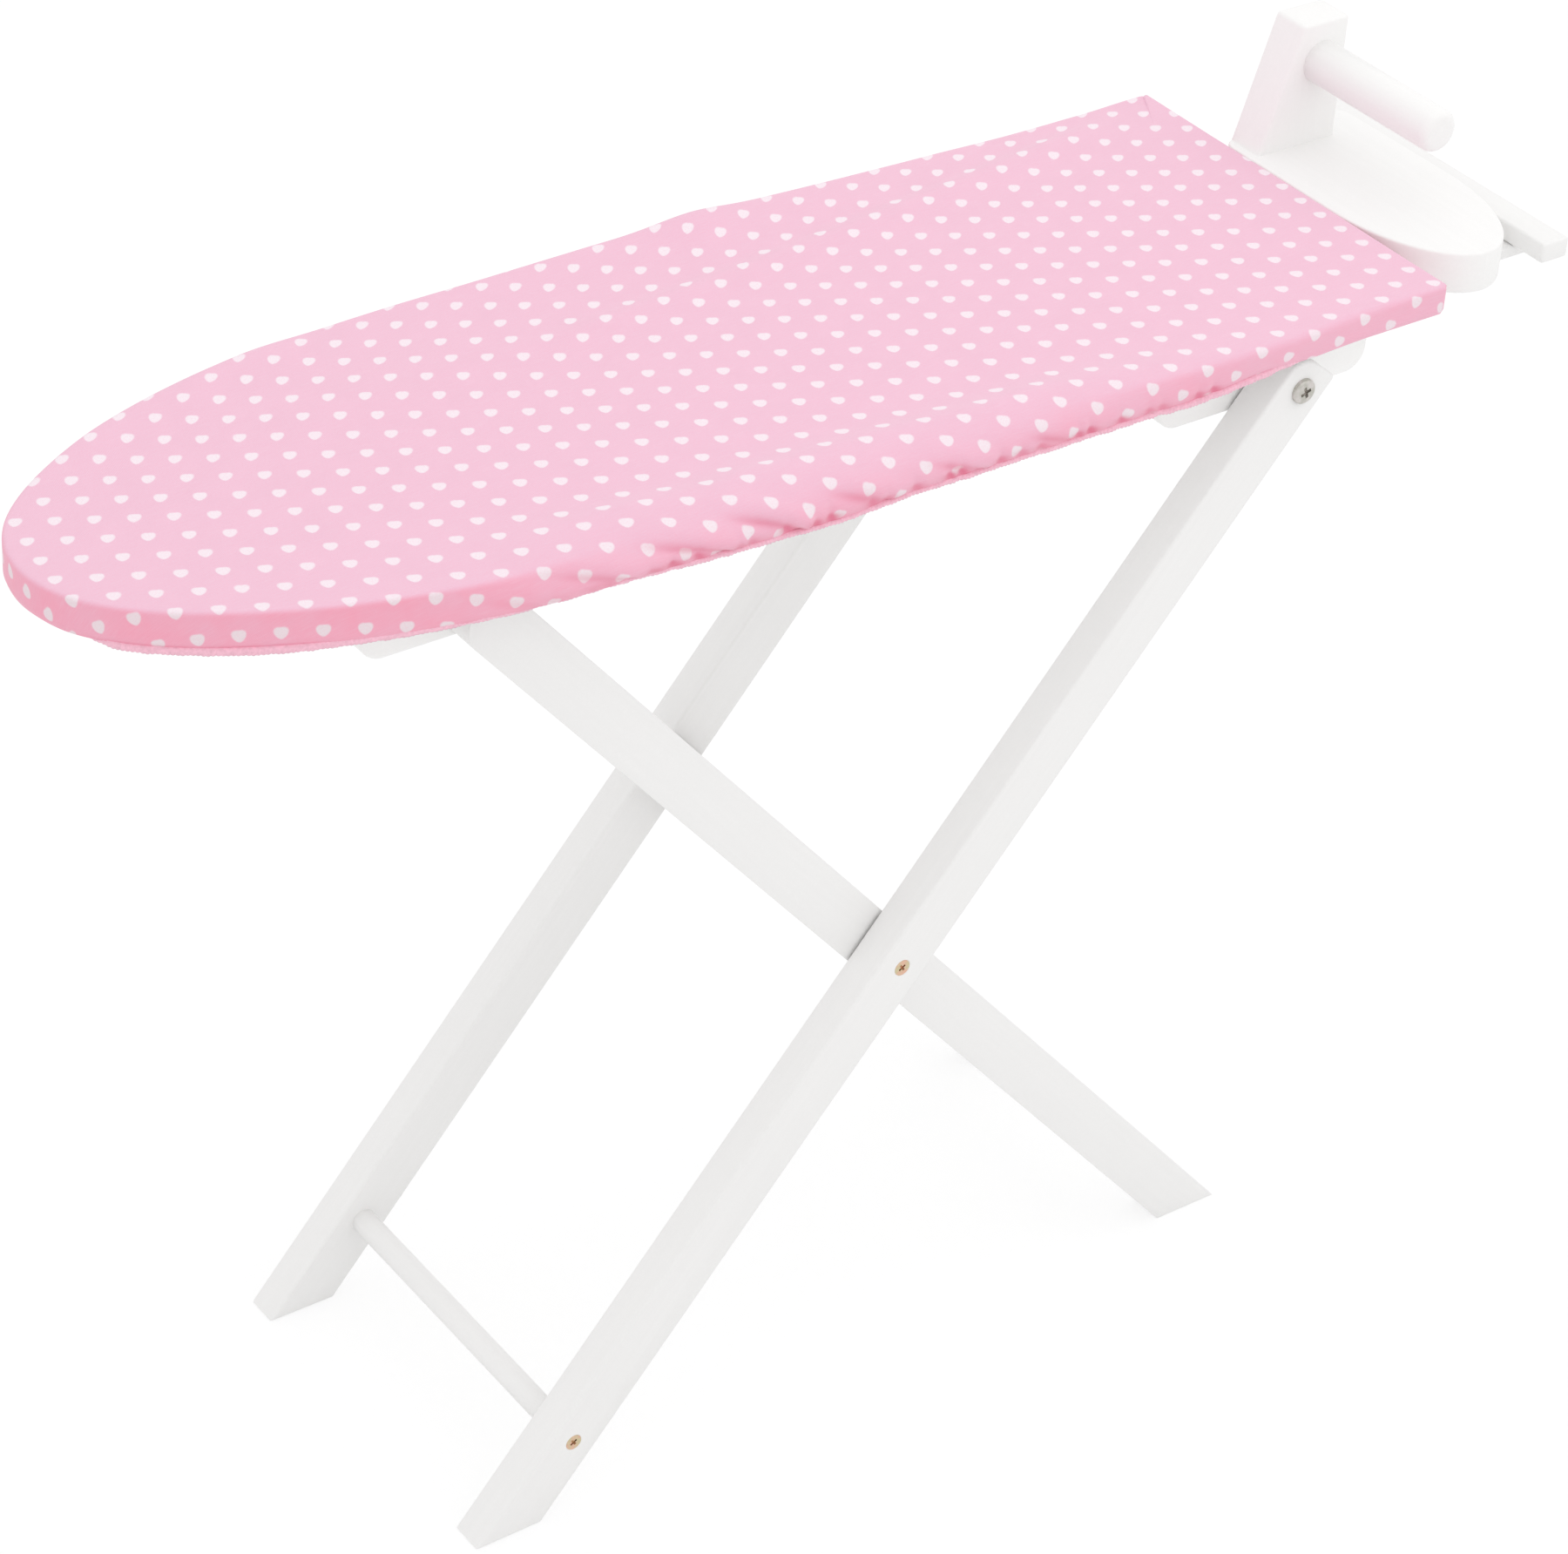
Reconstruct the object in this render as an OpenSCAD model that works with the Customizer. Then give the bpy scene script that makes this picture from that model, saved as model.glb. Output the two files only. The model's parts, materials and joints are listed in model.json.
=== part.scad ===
// Toy ironing board: folding trestle legs, fitted cloth cover and a wooden iron on its rest
// X runs along the board with the round nose at -X, Y across it, Z up from the floor

/* [Board] */
// Length of the board from the nose tip to the square end
board_l = 641; // [560:1:720]
// Width of the board
board_w = 210; // [190:1:240]
// Thickness of the board
board_t = 12; // [9:0.5:18]
// Height of the board's underside above the floor
underside_z = 505; // [460:1:560]
// Length of the elliptical nose
nose_l = 235; // [160:1:300]
// Corner radius at the square end
corner_r = 7; // [3:0.5:20]

/* [Cover] */
// Thickness of the padded cloth
cover_t = 1.6; // [1:0.1:4]
// Rounding of the cloth over the top edge
cover_round = 2.5; // [1:0.1:4]
// Slack between the cloth and the board's edge
cover_gap = 0.3; // [0.1:0.1:1]
// Height of the elastic hem
hem_h = 2.4; // [1.5:0.1:5]
// How far the hem swells out past the skirt
hem_swell = 0.7; // [0.3:0.1:2]
// Gap under the hem where the cloth is tight
hem_clear = 0.4; // [0.2:0.1:2]
// Droop of the skirt along the sides and round the nose
side_drop = 4.6; // [2:0.2:14]
// Distance from the square end where the droop begins
droop_from = 40; // [20:1:100]
// Length over which the droop grows to its full depth
droop_run = 110; // [60:1:150]
// Outward billow of the skirt at the middle of the long sides
side_billow = 3; // [0:0.5:6]
// Distance of the fullest billow from the square end
billow_in = 300; // [150:1:320]
// Half length of the billowing stretch
billow_half = 130; // [80:1:200]
// Gathers along each long side
gather_count = 14; // [6:1:20]
// Depth of each gather
gather_depth = 0.8; // [0.2:0.1:1.5]

/* [Cleats] */
// Length of each cleat
cleat_l = 119; // [90:1:150]
// Height of each cleat
cleat_h = 35; // [30:0.5:48]
// Thickness of each cleat
cleat_t = 14; // [10:0.5:20]
// Radius of the cleats' lower corners
cleat_r = 16; // [6:0.5:20]
// Offset of the pivot from the middle of its cleat
pivot_offset = 5; // [0:1:20]
// Offset of the crossbar from the middle of the nose cleats
catch_offset = 10; // [0:1:25]

/* [Legs] */
// Thickness of the legs, across the board
leg_t = 18; // [14:0.5:24]
// Width of the legs, seen from the side
leg_w = 27; // [22:0.5:32]
// Distance between the outer faces of the outer legs
frame_w = 200; // [180:1:204]
// Distance of the top pivot from the cover's square end
pivot_in = 74; // [60:1:100]
// Drop of the top pivot below the board
pivot_drop = 21.7; // [18:0.1:26]
// Horizontal reach from the top pivot to the outer feet
outer_reach = 397; // [340:1:430]
// Distance between the outer and inner feet along X
stance = 412.6; // [380:1:440]
// Height of the middle pivot
mid_z = 244; // [225:1:260]
// Drop of the inner legs' round ends below the board
inner_drop = 22; // [18:0.5:30]
// Height of the lower rungs
rung_z = 41; // [30:1:70]
// Diameter of the lower rungs
rung_d = 12; // [9:0.5:16]
// Diameter of the crossbar under the nose cleats
crossbar_d = 13; // [10:0.5:16]
// Gap between the crossbar and the nose cleats
crossbar_gap = 0.5; // [0.3:0.1:1]
// Depth of the sockets that hold the rungs
socket_depth = 9; // [4:0.5:12]

/* [Iron rest] */
// Length of the rest past the cover's square end
rest_reach = 93.9; // [85:0.1:120]
// Length of the arms under the board
arm_in = 114; // [90:1:140]
// Width of the arms
arm_w = 20; // [14:0.5:26]
// Thickness of the arms under the board
arm_t = 12.5; // [10:0.5:16]
// Thickness of the arms past the board
lip_t = 5.5; // [4:0.5:8]
// Distance from the cover to the step in the arms
step_gap = 0.6; // [0.3:0.1:2]
// Length of the cross slat
slat_l = 172; // [150:1:200]
// Width of the cross slat
slat_w = 15.5; // [10:0.5:18]
// Thickness of the cross slat
slat_t = 10; // [6:0.5:14]

/* [Iron] */
// Gap between the cover and the iron
iron_gap = 0.9; // [0.5:0.1:3]
// Length of the sole
sole_l = 142; // [120:1:160]
// Width of the sole
sole_w = 72.4; // [60:0.2:76]
// Thickness of the sole
sole_t = 20; // [14:0.5:26]
// Length of the sole's pointed nose
sole_nose_l = 66; // [50:1:90]
// Radius of the sole's heel corners
heel_r = 8; // [4:0.5:14]
// Distance from the nose tip to the board's centre line
sole_tip = 91; // [80:1:100]
// Height of the upright
upright_h = 61; // [52:0.5:75]
// Thickness of the upright
upright_t = 20; // [14:0.5:24]
// Width of the upright at its foot
upright_base = 46; // [40:0.5:50]
// Width of the upright at its top
upright_top = 27; // [24:0.5:36]
// Distance of the upright's plumb side from the iron's axis
upright_side = 14.5; // [13:0.5:18]
// Radius of the upright's top corners
upright_r = 3; // [1:0.5:6]
// Set-back of the upright from the heel
heel_set = 0.5; // [0:0.5:8]
// Diameter of the handle
handle_d = 20.6; // [18:0.2:24]
// Length of the handle in front of the upright
handle_l = 82; // [70:1:100]
// Height of the handle's axis above the sole
handle_up = 41; // [36:0.5:46]
// Rounding of the handle's free end
handle_r = 5; // [2:0.5:8]
// Depth of the handle's socket in the upright
handle_seat = 10; // [6:0.5:12]

/* [Fasteners] */
// Diameter of the top pivot bolts
bolt_d = 6; // [5:0.5:7]
// Diameter of the pivot bolts' pan heads
bolt_head_d = 12; // [10:0.5:14]
// Height of the pivot bolts' pan heads
bolt_head_h = 3.6; // [2.5:0.1:5]
// Width of the pivot nuts across corners
nut_d = 11.5; // [10:0.5:13]
// Height of the pivot nuts
nut_h = 5; // [3:0.5:6]
// Thread that shows past each pivot nut
bolt_over = 1; // [0.5:0.5:3]
// Thickness of the pivot washers
washer_t = 1.2; // [0.8:0.1:2]
// Outer diameter of the washers
washer_d = 14; // [11:0.5:18]
// Diameter of the wood screws
screw_d = 4; // [3:0.5:5]
// Diameter of the wood screws' countersunk heads
screw_head_d = 8; // [6.5:0.5:10]
// Length of the middle pivot screws
mid_screw_l = 32; // [28:1:35]
// Length of the rung and cleat screws
screw_l = 40; // [32:1:45]
// Length of the screws that hold the arms to the board
arm_screw_l = 20; // [16:1:22]
// Length of the screws that hold the slat to the arms
slat_screw_l = 12; // [9:0.5:14]
// Length of the screws that hold the upright to the sole
iron_screw_l = 45; // [35:1:50]
// Distance of the screws from the ends of cleats and arms
screw_inset = 20; // [12:1:30]
// Radial clearance of turning fits
run_c = 0.08; // [0.02:0.01:0.1]
// Radial clearance of glued and screwed fits
fit_c = 0.05; // [0.02:0.01:0.1]

/* [Hidden] */
$fn = 64;
near = -1;
far = 1;
cloth_out = cover_gap + cover_t;
total_l = board_l + 2 * cloth_out + rest_reach;
tip_x = total_l / 2;
square_x = tip_x - rest_reach;
end_x = square_x - cloth_out;
nose_x = end_x - board_l + nose_l;
half_w = board_w / 2;
board_top = underside_z + board_t;
cover_top = board_top + cover_t;
cleat_bottom = underside_z - cleat_h;

// Pivot and foot points in the side view, as [x, z]
pivot = [square_x - pivot_in, underside_z - pivot_drop];
outer_foot = [pivot[0] - outer_reach, 0];
inner_foot = [outer_foot[0] + stance, 0];
mid = [outer_foot[0] + outer_reach * mid_z / pivot[1], mid_z];
inner_slope = (inner_foot[0] - mid[0]) / mid_z;
function on_inner(z) = [inner_foot[0] - inner_slope * z, z];
function on_outer(z) = [outer_foot[0] + outer_reach * z / pivot[1], z];
inner_end = on_inner(underside_z - inner_drop);
crossbar_at = on_inner(cleat_bottom - crossbar_gap - crossbar_d / 2);
inner_rung_at = on_inner(rung_z);
outer_rung_at = on_outer(rung_z);

// Planes across the board
leg_in = frame_w / 2 - leg_t;
inner_out = leg_in - washer_t;
inner_in = inner_out - leg_t;
cleat_in = inner_out - cleat_t;
nose_cleat_gap = 0.8;
nose_cleat_in = inner_in - nose_cleat_gap - cleat_t;
pivot_cleat_x = pivot[0] - pivot_offset;
nose_cleat_x = crossbar_at[0] - catch_offset;
arm_x = square_x - arm_in;
arm_bottom = underside_z - arm_t;
lip_top = arm_bottom + lip_t;
step_x = square_x + step_gap;
arm_in_y = cleat_in - arm_w;
arm_mid_y = cleat_in - arm_w / 2;

// Iron
iron_x = square_x + iron_gap + sole_w / 2;
sole_top = lip_top + sole_t;
heel_y = sole_l - sole_tip;
upright_back = heel_y - heel_set;
upright_front = upright_back - upright_t;
handle_z = sole_top + handle_up;
iron_screw_x = [upright_side - upright_base * 0.62, upright_side - upright_base * 0.14];

// Screws
head_h = (screw_head_d - screw_d) / 2;
bolt_l = leg_t + washer_t + cleat_t + nut_h + bolt_over;
cut = 1;

white = [0.96, 0.95, 0.95];
pink = [0.98, 0.72, 0.82];
deep_pink = [0.92, 0.46, 0.58];
zinc = [0.62, 0.63, 0.64];
brassy = [0.72, 0.58, 0.42];

// Rim of the board, counter-clockwise from above: [x, y, normal x, normal y, share of the long side]
side_steps = 62;
arc_steps = 4;
end_steps = 6;
nose_steps = 40;
straight_l = end_x - corner_r - nose_x;
function arc_rim(cy, from) = [
    for (i = [0 : arc_steps])
        let (a = from + 90 * i / arc_steps)
        [end_x - corner_r + corner_r * cos(a), cy + corner_r * sin(a), cos(a), sin(a), 0]
];
function nose_rim() = [
    for (i = [0 : nose_steps])
        let (
            a = 90 + 180 * i / nose_steps,
            n = [cos(a) / nose_l, sin(a) / half_w],
            u = n / norm(n)
        )
        [nose_x + nose_l * cos(a), half_w * sin(a), u[0], u[1], 0]
];
rim = concat(
    [for (i = [1 : side_steps - 1])
        let (s = i / side_steps)
        [nose_x + straight_l * s, -half_w, 0, -1, s]],
    arc_rim(corner_r - half_w, -90),
    [for (i = [1 : end_steps - 1])
        [end_x, (2 * i / end_steps - 1) * (half_w - corner_r), 1, 0, 0]],
    arc_rim(half_w - corner_r, 0),
    [for (i = [1 : side_steps - 1])
        let (s = 1 - i / side_steps)
        [nose_x + straight_l * s, half_w, 0, 1, s]],
    nose_rim()
);
function bump(p) = exp(-pow((p[0] - square_x + billow_in) / billow_half, 2)) * abs(p[3]);
function ease(u) = let (v = min(max(u, 0), 1)) v * v * (3 - 2 * v);
function droop(p) = side_drop * ease((square_x - droop_from - p[0]) / droop_run);
function gather(p) = gather_depth * sin(360 * gather_count * p[4]) * bump(p);
function billow(p) = side_billow * bump(p) + gather(p);
function skirt_z(p) =
    underside_z + hem_h + hem_clear - droop(p);

// One ring of points at an offset from the rim, with a share of the billow, at z or hung from the skirt
function ring(offset, share, z) = [
    for (p = rim)
        let (d = offset + share * billow(p))
        [p[0] + d * p[2], p[1] + d * p[3], z]
];
function skirt_ring(offset, drop) = [
    for (p = rim)
        let (d = offset + billow(p))
        [p[0] + d * p[2], p[1] + d * p[3], skirt_z(p) - drop]
];
// Triangles between ring k and ring m of n points each
function band(k, m, n) = [
    for (i = [0 : n - 1])
        let (j = (i + 1) % n)
        each [[k * n + i, m * n + i, m * n + j], [k * n + i, m * n + j, k * n + j]]
];
// Triangles from ring k to a hub point inside it, facing down or up
function fan_down(k, hub, n) = [for (i = [0 : n - 1]) [hub, k * n + i, k * n + (i + 1) % n]];
function fan_up(k, hub, n) = [for (i = [0 : n - 1]) [hub, k * n + (i + 1) % n, k * n + i]];

// Places a shape modelled on the +Y side on the named side
module on_side(side) {
    mirror([0, side < 0 ? 1 : 0, 0]) children();
}

// Extrudes a side view, drawn as [x, z], from y to y + t
module slab(y, t) {
    translate([0, y + t, 0])
        rotate([90, 0, 0])
            linear_extrude(t) children();
}

// Cylinder along Y through a side view point
module rod_y(at, y, l, d) {
    translate([at[0], y, at[1]])
        rotate([-90, 0, 0]) cylinder(d = d, h = l);
}

// Countersunk screw with its head's face at the origin and its shank down -Z
module screw(l, grow = 0, over = 0) {
    rotate_extrude()
        polygon([
            [0, over],
            [screw_head_d / 2 + grow, over],
            [screw_head_d / 2 + grow, 0],
            [screw_d / 2 + grow, -head_h],
            [screw_d / 2 + grow, -l - grow],
            [0, -l - grow]
        ]);
}

module screw_y(at, y, l, grow = 0, over = 0) {
    translate([at[0], y, at[1]])
        rotate([-90, 0, 0]) screw(l, grow, over);
}

module screw_down(at, l, grow = 0, over = 0) {
    translate(at) screw(l, grow, over);
}

module screw_up(at, l, grow = 0, over = 0) {
    translate(at) rotate([180, 0, 0]) screw(l, grow, over);
}

// Board and cover

module board() {
    color(white)
        difference() {
            translate([0, 0, underside_z])
                linear_extrude(board_t)
                    polygon([for (p = rim) [p[0], p[1]]]);
            for (side = [near, far]) {
                on_side(side) cleat_screw_set(fit_c, cut);
                on_side(side) arm_screw_set(fit_c, 0);
            }
        }
}

module cover() {
    n = len(rim);
    hub_x = end_x - board_l / 2;
    color(pink)
        polyhedron(
            concat(
                ring(cover_gap, 0, board_top),
                skirt_ring(cover_gap, 0),
                skirt_ring(cloth_out, 0),
                ring(cloth_out, 0.5, cover_top - cover_round),
                ring(cloth_out - 0.3 * cover_round, 0.3, cover_top - 0.3 * cover_round),
                ring(cloth_out - cover_round, 0, cover_top),
                [[hub_x, 0, board_top], [hub_x, 0, cover_top]]
            ),
            concat(
                fan_down(0, 6 * n, n),
                [for (k = [0 : 4]) each band(k, k + 1, n)],
                fan_up(5, 6 * n + 1, n)
            )
        );
}

module cover_hem() {
    n = len(rim);
    swell_drop = 0.45 * hem_h;
    color(deep_pink)
        polyhedron(
            concat(
                skirt_ring(cover_gap, 0),
                skirt_ring(cover_gap, swell_drop),
                skirt_ring(cover_gap + cover_t / 2, hem_h),
                skirt_ring(cloth_out + hem_swell, swell_drop),
                skirt_ring(cloth_out, 0)
            ),
            [for (k = [0 : 4]) each band(k, (k + 1) % 5, n)]
        );
}

// Cleats under the board

module cleat_outline(x) {
    translate([x - cleat_l / 2, cleat_bottom])
        union() {
            translate([0, cleat_r]) square([cleat_l, cleat_h - cleat_r]);
            translate([cleat_r, 0]) square([cleat_l - 2 * cleat_r, cleat_h]);
            for (cx = [cleat_r, cleat_l - cleat_r])
                translate([cx, cleat_r]) circle(r = cleat_r);
        }
}

// Screws down through the board into the two cleats of one side
module cleat_screw_set(grow = 0, over = 0) {
    for (place = [[pivot_cleat_x, cleat_in], [nose_cleat_x, nose_cleat_in]])
        for (end = [-1, 1])
            screw_down(
                [place[0] + end * (cleat_l / 2 - screw_inset), place[1] + cleat_t / 2, board_top],
                screw_l, grow, over
            );
}

module pivot_cleat(side) {
    color(white)
        on_side(side)
            difference() {
                slab(cleat_in, cleat_t) cleat_outline(pivot_cleat_x);
                rod_y(pivot, cleat_in - cut, cleat_t + 2 * cut, bolt_d + 2 * fit_c);
                cleat_screw_set(fit_c);
            }
}

module nose_cleat(side) {
    color(white)
        on_side(side)
            difference() {
                slab(nose_cleat_in, cleat_t) cleat_outline(nose_cleat_x);
                cleat_screw_set(fit_c);
            }
}

module pivot_cleat_near() { pivot_cleat(near); }
module pivot_cleat_far() { pivot_cleat(far); }
module nose_cleat_near() { nose_cleat(near); }
module nose_cleat_far() { nose_cleat(far); }

module cleat_screws() {
    color(zinc)
        for (side = [near, far]) on_side(side) cleat_screw_set();
}

// Rest for the iron

// Screws up through one arm into the board
module arm_screw_set(grow = 0, over = 0) {
    for (x = [arm_x + screw_inset, end_x - screw_inset])
        screw_up([x, arm_mid_y, arm_bottom], arm_screw_l, grow, over);
}

// Screw up through one arm into the slat
module slat_screw(grow = 0, over = 0) {
    screw_up([tip_x - slat_w / 2, arm_mid_y, arm_bottom], slat_screw_l, grow, over);
}

module rest_arm(side) {
    color(white)
        on_side(side)
            difference() {
                slab(arm_in_y, arm_w)
                    polygon([
                        [arm_x, arm_bottom],
                        [tip_x, arm_bottom],
                        [tip_x, lip_top],
                        [step_x, lip_top],
                        [step_x, underside_z],
                        [arm_x, underside_z]
                    ]);
                arm_screw_set(fit_c, cut);
                slat_screw(fit_c, cut);
            }
}

module rest_arm_near() { rest_arm(near); }
module rest_arm_far() { rest_arm(far); }

module rest_slat() {
    color(white)
        difference() {
            translate([tip_x - slat_w, -slat_l / 2, lip_top]) cube([slat_w, slat_l, slat_t]);
            for (side = [near, far]) on_side(side) slat_screw(fit_c);
        }
}

module rest_screws() {
    color(zinc)
        for (side = [near, far]) {
            on_side(side) arm_screw_set();
            on_side(side) slat_screw();
        }
}

// Top pivot hardware

module pan_head() {
    rim_h = 0.35 * bolt_head_h;
    dome = [for (i = [0 : 6]) let (a = 15 * i)
        [bolt_head_d / 2 * (0.55 + 0.45 * cos(a)), rim_h + (bolt_head_h - rim_h) * sin(a)]];
    rotate_extrude()
        polygon(concat([[0, 0], [bolt_head_d / 2, 0]], dome, [[0, bolt_head_h]]));
}

module pivot_bolts() {
    color(zinc)
        for (side = [near, far])
            on_side(side)
                union() {
                    translate([pivot[0], frame_w / 2, pivot[1]]) rotate([-90, 0, 0]) pan_head();
                    rod_y(pivot, frame_w / 2 - bolt_l, bolt_l, bolt_d);
                }
}

module pivot_nuts() {
    color(zinc)
        for (side = [near, far])
            on_side(side)
                difference() {
                    translate([pivot[0], cleat_in - nut_h, pivot[1]])
                        rotate([-90, 0, 0]) cylinder(d = nut_d, h = nut_h, $fn = 6);
                    rod_y(pivot, cleat_in - nut_h - cut, nut_h + 2 * cut, bolt_d + 2 * fit_c);
                }
}

module washer_pair(at, bore_d) {
    color(zinc)
        for (side = [near, far])
            on_side(side)
                difference() {
                    rod_y(at, inner_out, washer_t, washer_d);
                    rod_y(at, inner_out - cut, washer_t + 2 * cut, bore_d);
                }
}

module pivot_washers() { washer_pair(pivot, bolt_d + 2 * run_c); }
module mid_washers() { washer_pair(mid, screw_d + 2 * run_c); }

// Legs

// Side view of a leg from its foot on the floor to its round top end
module leg_outline(foot, top) {
    way = top - foot;
    difference() {
        translate(foot)
            rotate(atan2(way[1], way[0])) {
                translate([-leg_w, -leg_w / 2]) square([norm(way) + leg_w, leg_w]);
                translate([norm(way), 0]) circle(d = leg_w);
            }
        translate(foot - [2 * leg_w, 2 * leg_w]) square([4 * leg_w, 2 * leg_w]);
    }
}

module outer_leg(side) {
    color(white)
        on_side(side)
            difference() {
                slab(leg_in, leg_t) leg_outline(outer_foot, pivot);
                rod_y(pivot, leg_in - cut, leg_t + 2 * cut, bolt_d + 2 * run_c);
                screw_y(mid, frame_w / 2, mid_screw_l, run_c, cut);
                screw_y(outer_rung_at, frame_w / 2, screw_l, fit_c, cut);
                rod_y(outer_rung_at, leg_in - cut, socket_depth + cut, rung_d + 2 * fit_c);
            }
}

module outer_leg_near() { outer_leg(near); }
module outer_leg_far() { outer_leg(far); }

module outer_rung() {
    rung_half = leg_in + socket_depth;
    color(white)
        difference() {
            rod_y(outer_rung_at, -rung_half, 2 * rung_half, rung_d);
            for (side = [near, far]) on_side(side) screw_y(outer_rung_at, frame_w / 2, screw_l, fit_c);
        }
}

module rung_screws() {
    color(brassy)
        for (side = [near, far]) on_side(side) screw_y(outer_rung_at, frame_w / 2, screw_l);
}

module inner_leg(side) {
    color(white)
        on_side(side)
            difference() {
                slab(inner_in, leg_t) leg_outline(inner_foot, inner_end);
                screw_y(mid, frame_w / 2, mid_screw_l, fit_c);
                rod_y(inner_rung_at, inner_in - cut, socket_depth + cut, rung_d + 2 * fit_c);
                rod_y(crossbar_at, inner_in - cut, socket_depth + cut, crossbar_d + 2 * fit_c);
            }
}

module inner_leg_near() { inner_leg(near); }
module inner_leg_far() { inner_leg(far); }

module inner_dowel(at, d) {
    dowel_half = inner_in + socket_depth;
    color(white) rod_y(at, -dowel_half, 2 * dowel_half, d);
}

module inner_rung() { inner_dowel(inner_rung_at, rung_d); }
module crossbar() { inner_dowel(crossbar_at, crossbar_d); }

module mid_screws() {
    color(brassy)
        for (side = [near, far]) on_side(side) screw_y(mid, frame_w / 2, mid_screw_l);
}

// Iron

module sole_outline() {
    nose = [for (i = [0 : 32]) let (a = 180 + 180 * i / 32)
        [sole_w / 2 * cos(a), sole_nose_l - sole_tip + sole_nose_l * sin(a)]];
    heel_right = [for (i = [0 : 6]) let (a = 15 * i)
        [sole_w / 2 - heel_r + heel_r * cos(a), heel_y - heel_r + heel_r * sin(a)]];
    heel_left = [for (i = [0 : 6]) let (a = 90 + 15 * i)
        [heel_r - sole_w / 2 + heel_r * cos(a), heel_y - heel_r + heel_r * sin(a)]];
    polygon(concat(nose, heel_right, heel_left));
}

// Screws up through the sole into the upright
module iron_screw_set(grow = 0, over = 0) {
    for (x = iron_screw_x)
        screw_up([iron_x + x, upright_back - upright_t / 2, lip_top], iron_screw_l, grow, over);
}

module iron_sole() {
    color(white)
        difference() {
            translate([iron_x, 0, lip_top]) linear_extrude(sole_t) sole_outline();
            iron_screw_set(fit_c, cut);
        }
}

module upright_outline() {
    right = upright_side - upright_r;
    left = upright_side - upright_top + upright_r;
    polygon(concat(
        [[upright_side - upright_base, 0], [upright_side, 0]],
        [for (i = [0 : 6]) let (a = 15 * i)
            [right + upright_r * cos(a), upright_h - upright_r + upright_r * sin(a)]],
        [for (i = [0 : 6]) let (a = 90 + 15 * i)
            [left + upright_r * cos(a), upright_h - upright_r + upright_r * sin(a)]]
    ));
}

module iron_upright() {
    color(white)
        difference() {
            slab(upright_front, upright_t)
                translate([iron_x, sole_top]) upright_outline();
            rod_y([iron_x, handle_z], upright_front - cut, handle_seat + cut, handle_d + 2 * fit_c);
            iron_screw_set(fit_c);
        }
}

module iron_handle() {
    grip_r = handle_d / 2;
    length = handle_l + handle_seat;
    end = [for (i = [0 : 6]) let (a = 15 * i)
        [grip_r - handle_r + handle_r * cos(a), length - handle_r + handle_r * sin(a)]];
    color(white)
        translate([iron_x, upright_front + handle_seat, handle_z])
            rotate([90, 0, 0])
                rotate_extrude() polygon(concat([[0, 0], [grip_r, 0]], end, [[0, length]]));
}

module iron_screws() {
    color(zinc) iron_screw_set();
}

board();
cover();
cover_hem();
pivot_cleat_near();
pivot_cleat_far();
nose_cleat_near();
nose_cleat_far();
cleat_screws();
rest_arm_near();
rest_arm_far();
rest_slat();
rest_screws();
pivot_bolts();
pivot_nuts();
pivot_washers();
outer_leg_near();
outer_leg_far();
outer_rung();
rung_screws();
inner_leg_near();
inner_leg_far();
inner_rung();
crossbar();
mid_screws();
mid_washers();
iron_sole();
iron_upright();
iron_handle();
iron_screws();
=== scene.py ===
"""Looks of a toy ironing board set: painted wooden trestle, heart print cover and wooden iron."""

import json
import math

import bmesh
import bpy
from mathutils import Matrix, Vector, noise


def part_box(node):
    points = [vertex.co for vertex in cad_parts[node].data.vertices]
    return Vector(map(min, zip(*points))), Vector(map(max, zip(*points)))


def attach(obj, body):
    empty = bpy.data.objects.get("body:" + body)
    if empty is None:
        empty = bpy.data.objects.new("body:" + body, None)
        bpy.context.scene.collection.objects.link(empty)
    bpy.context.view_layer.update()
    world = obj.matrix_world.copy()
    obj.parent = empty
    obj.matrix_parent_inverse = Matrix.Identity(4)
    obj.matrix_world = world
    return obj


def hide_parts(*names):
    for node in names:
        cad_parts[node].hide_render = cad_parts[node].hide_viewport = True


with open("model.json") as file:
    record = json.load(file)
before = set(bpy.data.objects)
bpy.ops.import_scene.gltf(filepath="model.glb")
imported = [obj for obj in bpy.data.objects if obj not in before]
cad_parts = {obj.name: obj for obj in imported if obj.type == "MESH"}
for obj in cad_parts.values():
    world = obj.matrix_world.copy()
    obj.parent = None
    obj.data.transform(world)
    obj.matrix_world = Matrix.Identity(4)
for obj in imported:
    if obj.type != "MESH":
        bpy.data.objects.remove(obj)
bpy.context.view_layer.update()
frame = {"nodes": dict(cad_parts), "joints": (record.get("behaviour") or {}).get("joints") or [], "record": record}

bl_info = {
    "name": "Toy ironing board",
    "version": (1, 0, 0),
    "blender": (4, 5, 0),
    "location": "View3D > Sidebar > Toy Board",
    "description": "Builds the finish of a folding toy ironing board with a cloth cover and an iron",
    "category": "Object",
}

MM = 0.001
JOINTS = {joint["name"]: joint for joint in frame["joints"]}
MOUNTS = {mount["name"]: mount for mount in frame["record"]["mounts"]}
PIVOT = Vector(JOINTS["leg_fold"]["pos_m"])
MIDDLE = Vector(JOINTS["leg_scissor"]["pos_m"])


# Settings that a user would change


def distance(name, description, default, least):
    """A length setting in metres, with its default and its least value"""
    return bpy.props.FloatProperty(
        name=name, description=description, subtype="DISTANCE", unit="LENGTH", min=least, default=default,
    )


def tint(name, description, default):
    """A colour setting with its default"""
    return bpy.props.FloatVectorProperty(
        name=name, description=description, subtype="COLOR", size=3, min=0, max=1, default=default,
    )


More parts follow.
